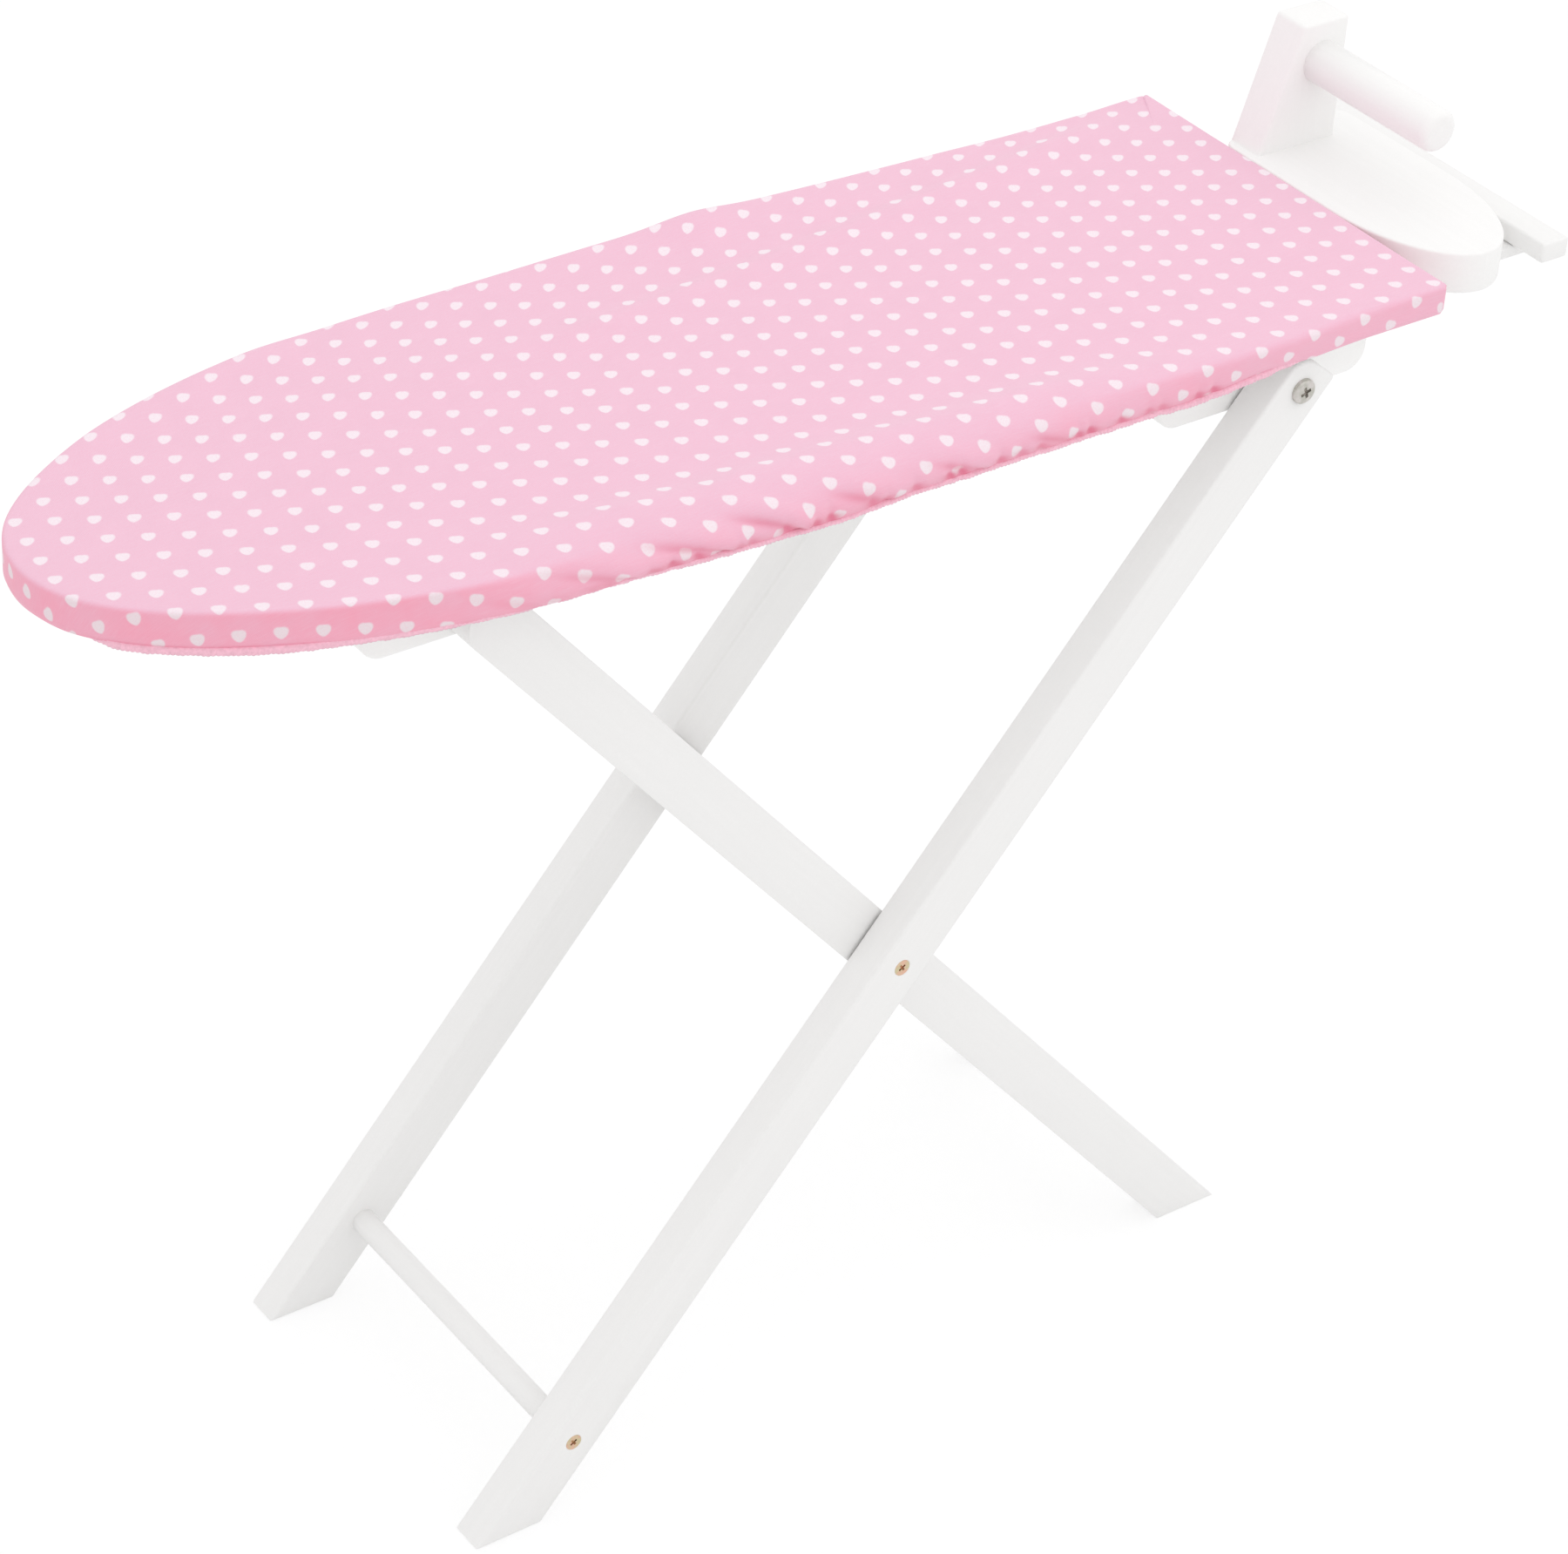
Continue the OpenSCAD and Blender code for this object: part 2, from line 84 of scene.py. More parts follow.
class TOYBOARD_PG_wood(bpy.types.PropertyGroup):
    """Sizes and colour of the painted wood"""

    paint: tint("Paint", "Colour of the satin white paint", (0.90, 0.893, 0.885))
    edge: distance("Edge rounding", "Radius of the sanded edges", 1.4 * MM, 0.2 * MM)
    soft_edge: distance("Iron edge rounding", "Radius of the edges on the iron", 1.9 * MM, 0.2 * MM)
    cleat_round: distance("Cleat corner", "Radius of the cleats' lower corners", 11 * MM, 1 * MM)
    lip: distance("Rest lip", "Thickness of the rest's arms past the board", 5.5 * MM, 1 * MM)
    sole_nose: distance("Sole nose", "Length of the pointed end of the iron's sole", 66 * MM, 10 * MM)
    heel: distance("Sole heel", "Radius of the sole's heel corners", 8 * MM, 1 * MM)
    upright_top: distance("Upright top", "Width of the upright at its top", 27 * MM, 5 * MM)
    handle_end: distance("Handle end", "Rounding of the handle's free end", 4 * MM, 1 * MM)


class TOYBOARD_PG_cover(bpy.types.PropertyGroup):
    """Sizes and colours of the cloth cover"""

    pink: tint("Cloth", "Ground colour of the printed cotton", (0.872, 0.535, 0.67))
    # Painted shade: the skirt's pink is the cloth's pink darkened and deepened for the hanging edge, which faces
    # away from the light; it is not a doubled layer of cloth
    shaded_pink: tint("Skirt", "Ground colour where the cloth doubles over at the skirt", (0.91, 0.37, 0.49))
    # Painted shade: the fold colour is the cloth's pink as it looks in shadow deep in the tucks and folds
    fold: tint("Fold", "Colour deep in the cloth's tucks", (0.78, 0.20, 0.31))
    heart: tint("Hearts", "Colour of the printed hearts", (0.915, 0.81, 0.868))
    # Painted shade: the hearts on the skirt are the white print greyed as if in shade
    shaded_heart: tint(
        "Hearts on the skirt", "Colour of the hearts on the cover's hanging edge", (0.83, 0.715, 0.755),
    )
    thread: tint("Hem thread", "Colour of the overlocked hem thread", (0.96, 0.54, 0.66))
    nose: distance("Nose", "Length of the board's elliptical nose", 235 * MM, 50 * MM)
    corner: distance("Corner", "Corner radius of the cloth at the square end", 1.2 * MM, 1 * MM)
    pitch_along: distance("Heart spacing along", "Repeat of the hearts along the board", 30.1 * MM, 5 * MM)
    pitch_across: distance(
        "Heart spacing across", "Repeat of the hearts across the board", 14.74 * MM, 5 * MM,
    )
    heart_half: distance("Heart half width", "Half the width of one heart", 3.0 * MM, 1 * MM)
    heart_lean: bpy.props.FloatProperty(
        name="Heart lean", description="Turn of the hearts from the board's cross direction",
        subtype="ANGLE", unit="ROTATION", default=math.radians(25),
    )


class TOYBOARD_PG_hardware(bpy.types.PropertyGroup):
    """Sizes of the bolts and screws"""

    bolt: distance("Bolt", "Diameter of the pivot bolts", 6 * MM, 2 * MM)
    bolt_head: distance("Bolt head", "Diameter of the pivot bolts' domed heads", 12 * MM, 4 * MM)
    bolt_head_height: distance("Bolt head height", "Height of the pivot bolts' heads", 2.5 * MM, 1 * MM)
    bolt_length: distance("Bolt length", "Length of the pivot bolts under the head", 39.2 * MM, 10 * MM)
    screw: distance("Screw", "Diameter of the wood screws", 4 * MM, 2 * MM)
    screw_head: distance("Screw head", "Diameter of the countersunk heads", 8 * MM, 4 * MM)
    middle_screw: distance("Middle screw", "Length of the screws at the legs' crossing", 32 * MM, 10 * MM)
    rung_screw: distance("Rung screw", "Length of the screws into the outer rung", 40 * MM, 10 * MM)
    arm_screw: distance("Arm screw", "Length of the screws from the arms into the board", 20 * MM, 8 * MM)
    slat_screw: distance("Slat screw", "Length of the screws from the arms into the slat", 12 * MM, 8 * MM)
    iron_screw: distance("Iron screw", "Length of the screws from sole to upright", 45 * MM, 10 * MM)
    inset: distance("Screw inset", "Distance of the arms' screws from the ends", 20 * MM, 5 * MM)


class TOYBOARD_PG_stage(bpy.types.PropertyGroup):
    """Camera and light"""

    eye: bpy.props.FloatVectorProperty(
        name="Camera place", description="Where the camera stands",
        subtype="TRANSLATION", size=3, default=(-1.0831, -1.4077, 1.5152),
    )
    turn: bpy.props.FloatVectorProperty(
        name="Camera turn", description="Tilt, roll and heading of the camera",
        subtype="EULER", size=3,
        default=(math.radians(55.333), math.radians(-3.337), math.radians(-35.482)),
    )
    lens: bpy.props.FloatProperty(
        name="Lens", description="Focal length in millimetres on a 36 mm sensor", default=109.6, min=20,
    )
    sky: bpy.props.FloatProperty(
        name="Sky strength", description="Strength of the even studio light", default=0.966, min=0,
    )
    key: bpy.props.FloatProperty(
        name="Key light", description="Power of the overhead softbox in watts", default=5.4, min=0,
    )


def wood():
    """Wood settings of the scene"""
    return bpy.context.scene.toyboard_wood


def cloth():
    """Cover settings of the scene"""
    return bpy.context.scene.toyboard_cover


def hardware():
    """Hardware settings of the scene"""
    return bpy.context.scene.toyboard_hardware


# Node helpers

# A mix node names its sockets alike for every type, so its colour sockets go by number
MIX_FIRST, MIX_SECOND, MIX_RESULT = 6, 7, 2


def new_material(name, sockets):
    """A material, its node tree and its shader with the given sockets set"""
    material = bpy.data.materials.new(name)
    material.use_nodes = True
    tree = material.node_tree
    shader = tree.nodes["Principled BSDF"]
    for key, value in sockets.items():
        shader.inputs[key].default_value = value
    return material, tree, shader


def add_node(tree, kind, inputs=None, **settings):
    """One node with its settings, and its inputs given as values or as sockets to link"""
    node = tree.nodes.new(kind)
    for key, value in settings.items():
        setattr(node, key, value)
    for key, value in (inputs or {}).items():
        if isinstance(value, bpy.types.NodeSocket):
            tree.links.new(value, node.inputs[key])
        else:
            node.inputs[key].default_value = value
    return node


def math_node(tree, operation, first, second=0.0, third=0.0):
    """Result socket of one math node"""
    node = add_node(tree, "ShaderNodeMath", {0: first, 1: second, 2: third}, operation=operation)
    return node.outputs[0]


def map_range(tree, value, low, high, out_low=0.0, out_high=1.0, eased=False):
    """Result socket of one map range node"""
    node = add_node(
        tree, "ShaderNodeMapRange",
        {"Value": value, "From Min": low, "From Max": high, "To Min": out_low, "To Max": out_high},
        interpolation_type="SMOOTHSTEP" if eased else "LINEAR",
    )
    return node.outputs["Result"]


def mix_colour(tree, factor, first, second):
    """Result socket of a colour mix"""
    inputs = {"Factor": factor, MIX_FIRST: first, MIX_SECOND: second}
    return add_node(tree, "ShaderNodeMix", inputs, data_type="RGBA").outputs[MIX_RESULT]


def speckle(tree, place, scale, detail, **more):
    """Result socket of one noise texture"""
    inputs = {"Vector": place, "Scale": scale, "Detail": detail, **more}
    return add_node(tree, "ShaderNodeTexNoise", inputs).outputs["Fac"]


def add_bump(tree, shader, height, strength, depth):
    """Raise a surface by a height socket"""
    bump = add_node(tree, "ShaderNodeBump", {"Height": height, "Strength": strength, "Distance": depth})
    tree.links.new(bump.outputs["Normal"], shader.inputs["Normal"])


def rgba(colour, shade=1.0):
    """A colour with full alpha, darkened by shade"""
    return (*[channel * shade for channel in colour], 1.0)


# Materials

GRAIN_TURNS = {
    "along": (0.0, 0.0, 0.0),
    "across": (0.0, 0.0, math.pi / 2),
    "upright": (0.0, math.pi / 2, 0.0),
}
FIBRE_SCALE = (14.0, 420.0, 420.0)
SLUB_SCALE = (120.0, 2600.0, 1.0)
# Painted light: the cleats and the iron get a brighter copy of the same white paint, lifting the cleats out of the
# shade under the board and making the iron brighter than its light gives
CLEAT_LIGHT_LIFT = 1.075
IRON_LIGHT_LIFT = 1.035


def painted_wood(grain, bright=1.0, turn=None):
    """Satin white paint over wood, with the grain faintly raised along one direction; a bright above 1 is painted
    light, a brighter copy of the same paint
    """
    name = f"white_paint_{grain}_{round(100 * bright)}"
    if name in bpy.data.materials:
        return bpy.data.materials[name]
    material, tree, shader = new_material(name, {"Specular IOR Level": 0.35})
    place = add_node(tree, "ShaderNodeTexCoord").outputs["Object"]
    along = add_node(
        tree, "ShaderNodeMapping", {"Vector": place, "Rotation": turn or GRAIN_TURNS[grain]},
        vector_type="TEXTURE",
    ).outputs["Vector"]
    fibres = add_node(tree, "ShaderNodeMapping", {"Vector": along, "Scale": FIBRE_SCALE}).outputs["Vector"]
    grain_lines = speckle(tree, fibres, 1.0, 5.0, Roughness=0.55)
    peel = speckle(tree, place, 900.0, 2.0)
    blotch = speckle(tree, place, 22.0, 3.0)
    paint = [channel * bright for channel in wood().paint]
    tone = mix_colour(tree, map_range(tree, grain_lines, 0.35, 0.7), rgba(paint, 0.978), rgba(paint))
    tone = mix_colour(tree, map_range(tree, blotch, 0.3, 0.7, 0.0, 0.5), tone, rgba(paint, 0.98))
    tone = mix_colour(tree, map_range(tree, peel, 0.35, 0.65, 0.0, 0.5), tone, rgba(paint, 0.965))
    tree.links.new(tone, shader.inputs["Base Color"])
    tree.links.new(map_range(tree, blotch, 0.3, 0.7, 0.36, 0.48), shader.inputs["Roughness"])
    add_bump(tree, shader, math_node(tree, "MULTIPLY_ADD", grain_lines, 0.7, peel), 0.05, 0.3 * MM)
    return material


def metal(name, colour, bloom, rough):
    """Plated steel with fine scuffs"""
    if name in bpy.data.materials:
        return bpy.data.materials[name]
    material, tree, shader = new_material(name, {"Metallic": 1.0})
    place = add_node(tree, "ShaderNodeTexCoord").outputs["Object"]
    scuff = speckle(tree, place, 1800.0, 4.0)
    stain = speckle(tree, place, 260.0, 2.0)
    tone = mix_colour(tree, map_range(tree, stain, 0.4, 0.6), rgba(bloom), rgba(colour))
    tree.links.new(tone, shader.inputs["Base Color"])
    tree.links.new(map_range(tree, scuff, 0.3, 0.7, rough - 0.08, rough + 0.1), shader.inputs["Roughness"])
    add_bump(tree, shader, scuff, 0.15, 0.1 * MM)
    return material


def zinc_plate():
    """Grey zinc plate of the pivot hardware and of the screws under the board and the iron"""
    return metal("zinc_plate", (0.67, 0.635, 0.61), (0.54, 0.53, 0.48), 0.38)


def yellow_plate():
    """Yellow passivated plate of the legs' screws, gold with a rosy and greenish bloom"""
    return metal("yellow_plate", (0.78, 0.50, 0.37), (0.66, 0.58, 0.37), 0.36)


def heart_mask(tree, sheet):
    """Mask of staggered hearts in the cloth's own flat coordinates"""

    def add(first, second):
        return math_node(tree, "ADD", first, second)

    def subtract(first, second):
        return math_node(tree, "SUBTRACT", first, second)

    def times(first, second):
        return math_node(tree, "MULTIPLY", first, second)

    def in_cell(value):
        return subtract(math_node(tree, "FRACT", value), 0.5)

    settings = cloth()
    part = add_node(tree, "ShaderNodeSeparateXYZ", {0: sheet})
    along = add(math_node(tree, "DIVIDE", part.outputs["X"], settings.pitch_along), 0.5)
    across = math_node(tree, "DIVIDE", part.outputs["Y"], settings.pitch_across)
    first = in_cell(add(along, across))
    second = in_cell(subtract(along, across))
    side = times(add(first, second), settings.pitch_along / 2 / settings.heart_half)
    rise = times(subtract(first, second), settings.pitch_across / 2 / settings.heart_half)
    lean = settings.heart_lean
    right = subtract(times(side, math.cos(lean)), times(rise, math.sin(lean)))
    up = add(times(side, math.sin(lean)), times(rise, math.cos(lean)))
    # A heart is a circle whose height is lifted by the distance from its middle line
    square = times(right, right)
    lobe = times(math_node(tree, "SQRT", add(square, 0.06)), 0.42)
    lift = subtract(math_node(tree, "MULTIPLY_ADD", up, 1.08, 0.16), lobe)
    ragged = map_range(tree, speckle(tree, sheet, 2600.0, 2.0), 0.0, 1.0, -0.12, 0.12)
    span = add(add(square, times(lift, lift)), ragged)
    return map_range(tree, span, 1.34, 0.66, eased=True)


def printed_cotton():
    """Pink woven cotton with a white heart print"""
    sockets = {"Roughness": 0.88, "Specular IOR Level": 0.2, "Sheen Weight": 0.25, "Sheen Roughness": 0.5}
    material, tree, shader = new_material("printed_cotton", sockets)
    settings = cloth()
    sheet = add_node(tree, "ShaderNodeUVMap", uv_map="cloth").outputs["UV"]
    skirt = add_node(tree, "ShaderNodeAttribute", attribute_name="skirt").outputs["Fac"]
    crease_shade = add_node(tree, "ShaderNodeAttribute", attribute_name="crease_shade").outputs["Fac"]
    threads = add_node(tree, "ShaderNodeMapping", {"Vector": sheet, "Scale": SLUB_SCALE}).outputs["Vector"]
    slub = speckle(tree, threads, 1.0, 2.0)
    mottle = speckle(tree, sheet, 55.0, 4.0)
    nap = speckle(tree, sheet, 1300.0, 2.0)
    worn = rgba(settings.pink, 0.94)
    # Painted shade: the skirt attribute darkens the ground to the shaded pink and greys the hearts on the hanging
    # edge
    ground = mix_colour(tree, skirt, rgba(settings.pink), rgba(settings.shaded_pink))
    ground = mix_colour(tree, map_range(tree, mottle, 0.3, 0.7, 0.0, 0.35), ground, worn)
    ink = mix_colour(tree, skirt, rgba(settings.heart), rgba(settings.shaded_heart))
    tone = mix_colour(tree, heart_mask(tree, sheet), ground, ink)
    tone = mix_colour(tree, map_range(tree, slub, 0.45, 0.75, 0.0, 0.12), tone, rgba(settings.heart))
    tone = mix_colour(tree, map_range(tree, nap, 0.4, 0.7, 0.0, 0.16), tone, rgba(settings.shaded_pink))
    # Painted shade: the crease attribute darkens the cloth towards the fold colour in tucks, folds and along the
    # line above the hem
    tone = mix_colour(tree, crease_shade, tone, rgba(settings.fold))
    tree.links.new(tone, shader.inputs["Base Color"])
    waves = {"Vector": sheet, "Scale": 560.0, "Distortion": 0.4, "Detail": 1.0}
    warp = add_node(tree, "ShaderNodeTexWave", waves, bands_direction="X").outputs["Fac"]
    weft = add_node(tree, "ShaderNodeTexWave", waves, bands_direction="Y").outputs["Fac"]
    weave = math_node(tree, "ADD", math_node(tree, "MULTIPLY", warp, weft), slub)
    add_bump(tree, shader, weave, 0.3, 0.12 * MM)
    return material


def hem_thread():
    """Twisted pink overlock thread"""
    material, tree, shader = new_material("hem_thread", {"Roughness": 0.8, "Sheen Weight": 0.3})
    place = add_node(tree, "ShaderNodeTexCoord").outputs["Object"]
    twist = speckle(tree, place, 700.0, 3.0)
    thread = cloth().thread
    tone = mix_colour(tree, map_range(tree, twist, 0.35, 0.65), rgba(thread, 0.88), rgba(thread))
    tree.links.new(tone, shader.inputs["Base Color"])
    add_bump(tree, shader, twist, 0.4, 0.2 * MM)
    return material


# Modelling helpers

SEAT_GAP = 0.35 * MM
SEAT_DEEP = 2.4 * MM
SEAT_OVER = 0.5 * MM
TOLERANCE = 0.01 * MM
MERGE = 0.001 * MM


def same(first, second):
    """Whether two lengths agree to a hundredth of a millimetre"""
    return abs(first - second) < TOLERANCE


def lies(start, end, **levels):
    """Whether an edge lies at the given levels of its axes"""
    return all(
        same(getattr(spot, axis), level) for spot in (start, end) for axis, level in levels.items()
    )


def facing(way):
    """Turn that points an object's own Z axis along a way"""
    return way.to_track_quat("Z", "Y").to_euler()


def deselect():
    """Leave object mode with nothing selected"""
    if bpy.context.object and bpy.context.object.mode != "OBJECT":
        bpy.ops.object.mode_set(mode="OBJECT")
    bpy.ops.object.select_all(action="DESELECT")


def pick(piece):
    """Make a piece the only one selected"""
    deselect()
    piece.select_set(True)
    bpy.context.view_layer.objects.active = piece


def apply_place(piece):
    """Move the object's place, turn and size into its mesh"""
    pick(piece)
    bpy.ops.object.transform_apply(location=True, rotation=True, scale=True)


def apply_modifier(piece, kind, **settings):
    """Give a piece a modifier and apply it"""
    pick(piece)
    modifier = piece.modifiers.new(kind.lower(), kind)
    for key, value in settings.items():
        setattr(modifier, key, value)
    bpy.ops.object.modifier_apply(modifier=modifier.name)


def add_block(name, low, high):
    """A block between two corners"""
    deselect()
    low, high = Vector(low), Vector(high)
    bpy.ops.mesh.primitive_cube_add(size=1, location=(low + high) / 2)
    piece = bpy.context.object
    piece.name = piece.data.name = name
    piece.scale = high - low
    apply_place(piece)
    return piece


def add_rod(name, start, end, radius, sides=48):
    """A round bar from start to end"""
    deselect()
    start, end = Vector(start), Vector(end)
    bpy.ops.mesh.primitive_cylinder_add(
        vertices=sides, radius=radius, depth=(end - start).length, location=(start + end) / 2,
        rotation=facing(end - start),
    )
    piece = bpy.context.object
    piece.name = piece.data.name = name
    apply_place(piece)
    return piece


def edit(piece, kind, test):
    """Enter edit mode with what passes the test selected

    The test gets a vertex's place, an edge's two ends or a face's middle.
    """
    pick(piece)
    bpy.ops.object.mode_set(mode="EDIT")
    bpy.ops.mesh.select_mode(type=kind)
    bpy.ops.mesh.select_all(action="DESELECT")
    mesh = bmesh.from_edit_mesh(piece.data)
    elements, spots = {
        "VERT": (mesh.verts, lambda vert: [vert.co]),
        "EDGE": (mesh.edges, lambda line: [vert.co for vert in line.verts]),
        "FACE": (mesh.faces, lambda face: [face.calc_center_median()]),
    }[kind]
    chosen = [element for element in elements if test(*spots(element))]
    if not chosen:
        raise RuntimeError(f"nothing selected on {piece.name}")
    for element in chosen:
        element.select_set(True)
    mesh.select_flush_mode()
    bmesh.update_edit_mesh(piece.data)


def done():
    """Back to object mode"""
    bpy.ops.object.mode_set(mode="OBJECT")


def cut_through(piece, **plane):
    """Cut a whole piece at a plane"""
    edit(piece, "VERT", lambda place: True)
    bpy.ops.mesh.bisect(**plane)
    done()


def round_edges(piece, test, radius, steps=8):
    """Round the edges whose two ends pass the test"""
    edit(piece, "EDGE", test)
    bpy.ops.mesh.bevel(offset=radius, segments=steps, affect="EDGES", clamp_overlap=False)
    bpy.ops.mesh.select_all(action="SELECT")
    bpy.ops.mesh.remove_doubles(threshold=MERGE)
    done()


def shade_smooth(piece, angle=35):
    """Shade a piece smooth between its sharp edges"""
    pick(piece)
    bpy.ops.object.shade_smooth_by_angle(angle=math.radians(angle))


def ease_edges(piece, radius, steps=3, angle=35):
    """Sand every sharp edge and shade the piece smooth between them"""
    apply_modifier(
        piece, "BEVEL", width=radius, segments=steps, limit_method="ANGLE",
        angle_limit=math.radians(angle), use_clamp_overlap=True,
    )
    shade_smooth(piece, angle)


def coat(piece, material):
    """Give a piece its only material"""
    piece.data.materials.clear()
    piece.data.materials.append(material)


def dress(piece, material, body, slot, *nodes):
    """Give a piece its material and body and hide the CAD nodes that it stands for; the slot is not used"""
    coat(piece, material)
    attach(piece, body)
    if nodes:
        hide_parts(*nodes)


def cut_away(piece, cutter):
    """Take one shape out of another and drop the cutter"""
    apply_modifier(piece, "BOOLEAN", operation="DIFFERENCE", solver="EXACT", object=cutter)
    bpy.data.objects.remove(cutter, do_unlink=True)


def countersink(piece, face, outward):
    """Cut the seat of a countersunk screw head into a piece"""
    top = hardware().screw_head / 2 + SEAT_GAP
    deselect()
    bpy.ops.mesh.primitive_cone_add(
        vertices=48, radius1=top - SEAT_DEEP, radius2=top + SEAT_OVER, depth=SEAT_DEEP + SEAT_OVER,
        location=face + outward * (SEAT_OVER - SEAT_DEEP) / 2, rotation=facing(outward),
    )
    cutter = bpy.context.object
    apply_place(cutter)
    cut_away(piece, cutter)
    shade_smooth(piece)


# Wooden pieces

# Radii of a leg's upper and lower corner at its top end, as shares of half its width
OUTER_TOP = (0.87, 0.15)
INNER_TOP = (0.999, 0.999)
FULL_ROUND = 0.999
RUNG_EDGE = 0.6 * MM
HANDLE_SEAM = 0.3 * MM
ARM_EDGE_SHARE = 0.6
STEP_GAP = 0.6 * MM
IRON_SCREW_SHARES = (0.62, 0.14)
DOWN = Vector((0, 0, -1))


def make_leg(node, foot, top, body, rounding):
    """A leg from its foot on the floor to its top end, with the rounding of that end's two corners"""
    low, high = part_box(node)
    half = high.z - top.z
    way = Vector((top.x - foot.x, 0, top.z - foot.z))
    tip = way.length + half
    leg = add_block(node + "_wood", (-2 * half, low.y, -half), (tip, high.y, half))
    for level, share in zip((half, -half), rounding):
        round_edges(leg, lambda a, b: lies(a, b, x=tip, z=level), share * half, 12)
    turn = (0.0, -math.atan2(way.z, way.x), 0.0)
    leg.rotation_euler = turn
    leg.location = (foot.x, 0, 0)
    apply_place(leg)
    cut_through(leg, plane_co=(0, 0, 0), plane_no=(0, 0, 1), use_fill=True, clear_inner=True)
    ease_edges(leg, wood().edge)
    dress(leg, painted_wood(body, turn=turn), body, "painted_wood", node)
    return leg


def dowel(name, node, sides):
    """A round bar across the set, where a CAD node has it"""
    low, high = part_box(node)
    middle = (low + high) / 2
    start, end = [Vector((middle.x, y, middle.z)) for y in (low.y, high.y)]
    return add_rod(name, start, end, (high.z - low.z) / 2, sides)


def outer_screw_spots():
    """Axes of the screws that show on the outer legs"""
    low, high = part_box("outer_rung")
    return MIDDLE, (low + high) / 2


def side_seat(spot, side):
    """Where an axis leaves an outer leg, and the way out"""
    way = -1 if side == "near" else 1
    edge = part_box("outer_leg_far")[1].y
    return Vector((spot.x, way * edge, spot.z)), Vector((0, way, 0))


class TOYBOARD_OT_legs(bpy.types.Operator):
    """Model the four legs with sanded edges"""

    bl_idname = "toyboard.legs"
    bl_label = "Legs"

    def execute(self, context):
        for side in ("near", "far"):
            foot = Vector(MOUNTS["outer_foot_" + side]["pos_m"])
            leg = make_leg("outer_leg_" + side, foot, PIVOT, "outer_frame", OUTER_TOP)
            for spot in outer_screw_spots():
                countersink(leg, *side_seat(spot, side))
            foot = Vector(MOUNTS["inner_foot_" + side]["pos_m"])
            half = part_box("outer_leg_" + side)[1].z - PIVOT.z
            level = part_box("inner_leg_" + side)[1].z - half
            share = level / MIDDLE.z
            top = Vector((foot.x + (MIDDLE.x - foot.x) * share, 0, level))
            make_leg("inner_leg_" + side, foot, top, "inner_frame", INNER_TOP)
        return {"FINISHED"}


class TOYBOARD_OT_rungs(bpy.types.Operator):
    """Model the dowels that tie each pair of legs"""

    bl_idname = "toyboard.rungs"
    bl_label = "Rungs"

    def execute(self, context):
        for node, body in (
            ("outer_rung", "outer_frame"), ("inner_rung", "inner_frame"), ("crossbar", "inner_frame"),
        ):
            rung = dowel(node + "_dowel", node, 56)
            ease_edges(rung, RUNG_EDGE, 2)
            dress(rung, painted_wood("across"), body, "painted_wood", node)
        return {"FINISHED"}


class TOYBOARD_OT_cleats(bpy.types.Operator):
    """Model the four cleats under the board"""

    bl_idname = "toyboard.cleats"
    bl_label = "Cleats"

    def execute(self, context):
        # Painted light: the cleats get the brightened copy of the paint
        paint = painted_wood("along", CLEAT_LIGHT_LIFT)
        for node in ("pivot_cleat_near", "pivot_cleat_far", "nose_cleat_near", "nose_cleat_far"):
            low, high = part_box(node)
            cleat = add_block(node + "_wood", low, high)
            round_edges(
                cleat, lambda a, b: lies(a, b, z=low.z) and same(a.x, b.x), wood().cleat_round, 12,
            )
            ease_edges(cleat, wood().edge)
            dress(cleat, paint, "board", "painted_wood", node)
        return {"FINISHED"}


def rest_seats(node):
    """Seats of the screws under one arm of the rest"""
    low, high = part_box(node)
    inset = hardware().inset
    middle = (low.y + high.y) / 2
    slat_low, slat_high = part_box("rest_slat")
    places = (low.x + inset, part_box("board")[1].x - inset, (slat_low.x + slat_high.x) / 2)
    return [(Vector((x, middle, low.z)), DOWN) for x in places]


def iron_seats():
    """Seats of the screws under the iron's sole"""
    low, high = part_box("iron_upright")
    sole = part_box("iron_sole")[0].z
    wide = high.x - low.x
    middle = (low.y + high.y) / 2
    return [(Vector((high.x - share * wide, middle, sole)), DOWN) for share in IRON_SCREW_SHARES]


class TOYBOARD_OT_rest(bpy.types.Operator):
    """Model the arms and the slat of the iron rest"""

    bl_idname = "toyboard.rest"
    bl_label = "Iron rest"

    def execute(self, context):
        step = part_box("cover")[1].x + STEP_GAP
        for node in ("rest_arm_near", "rest_arm_far"):
            low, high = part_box(node)
            lip = low.z + wood().lip
            arm = add_block(node + "_wood", low, (high.x, high.y, lip))
            cut_through(arm, plane_co=(step, 0, 0), plane_no=(1, 0, 0))
            edit(arm, "FACE", lambda middle: same(middle.z, lip) and middle.x < step)
            bpy.ops.mesh.extrude_region_move(TRANSFORM_OT_translate={"value": (0, 0, high.z - lip)})
            done()
            ease_edges(arm, wood().edge * ARM_EDGE_SHARE)
            for seat in rest_seats(node):
                countersink(arm, *seat)
            dress(arm, painted_wood("along"), "board", "painted_wood", node)
        slat = add_block("rest_slat_wood", *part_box("rest_slat"))
        ease_edges(slat, wood().edge)
        dress(slat, painted_wood("across"), "board", "painted_wood", "rest_slat")
        return {"FINISHED"}


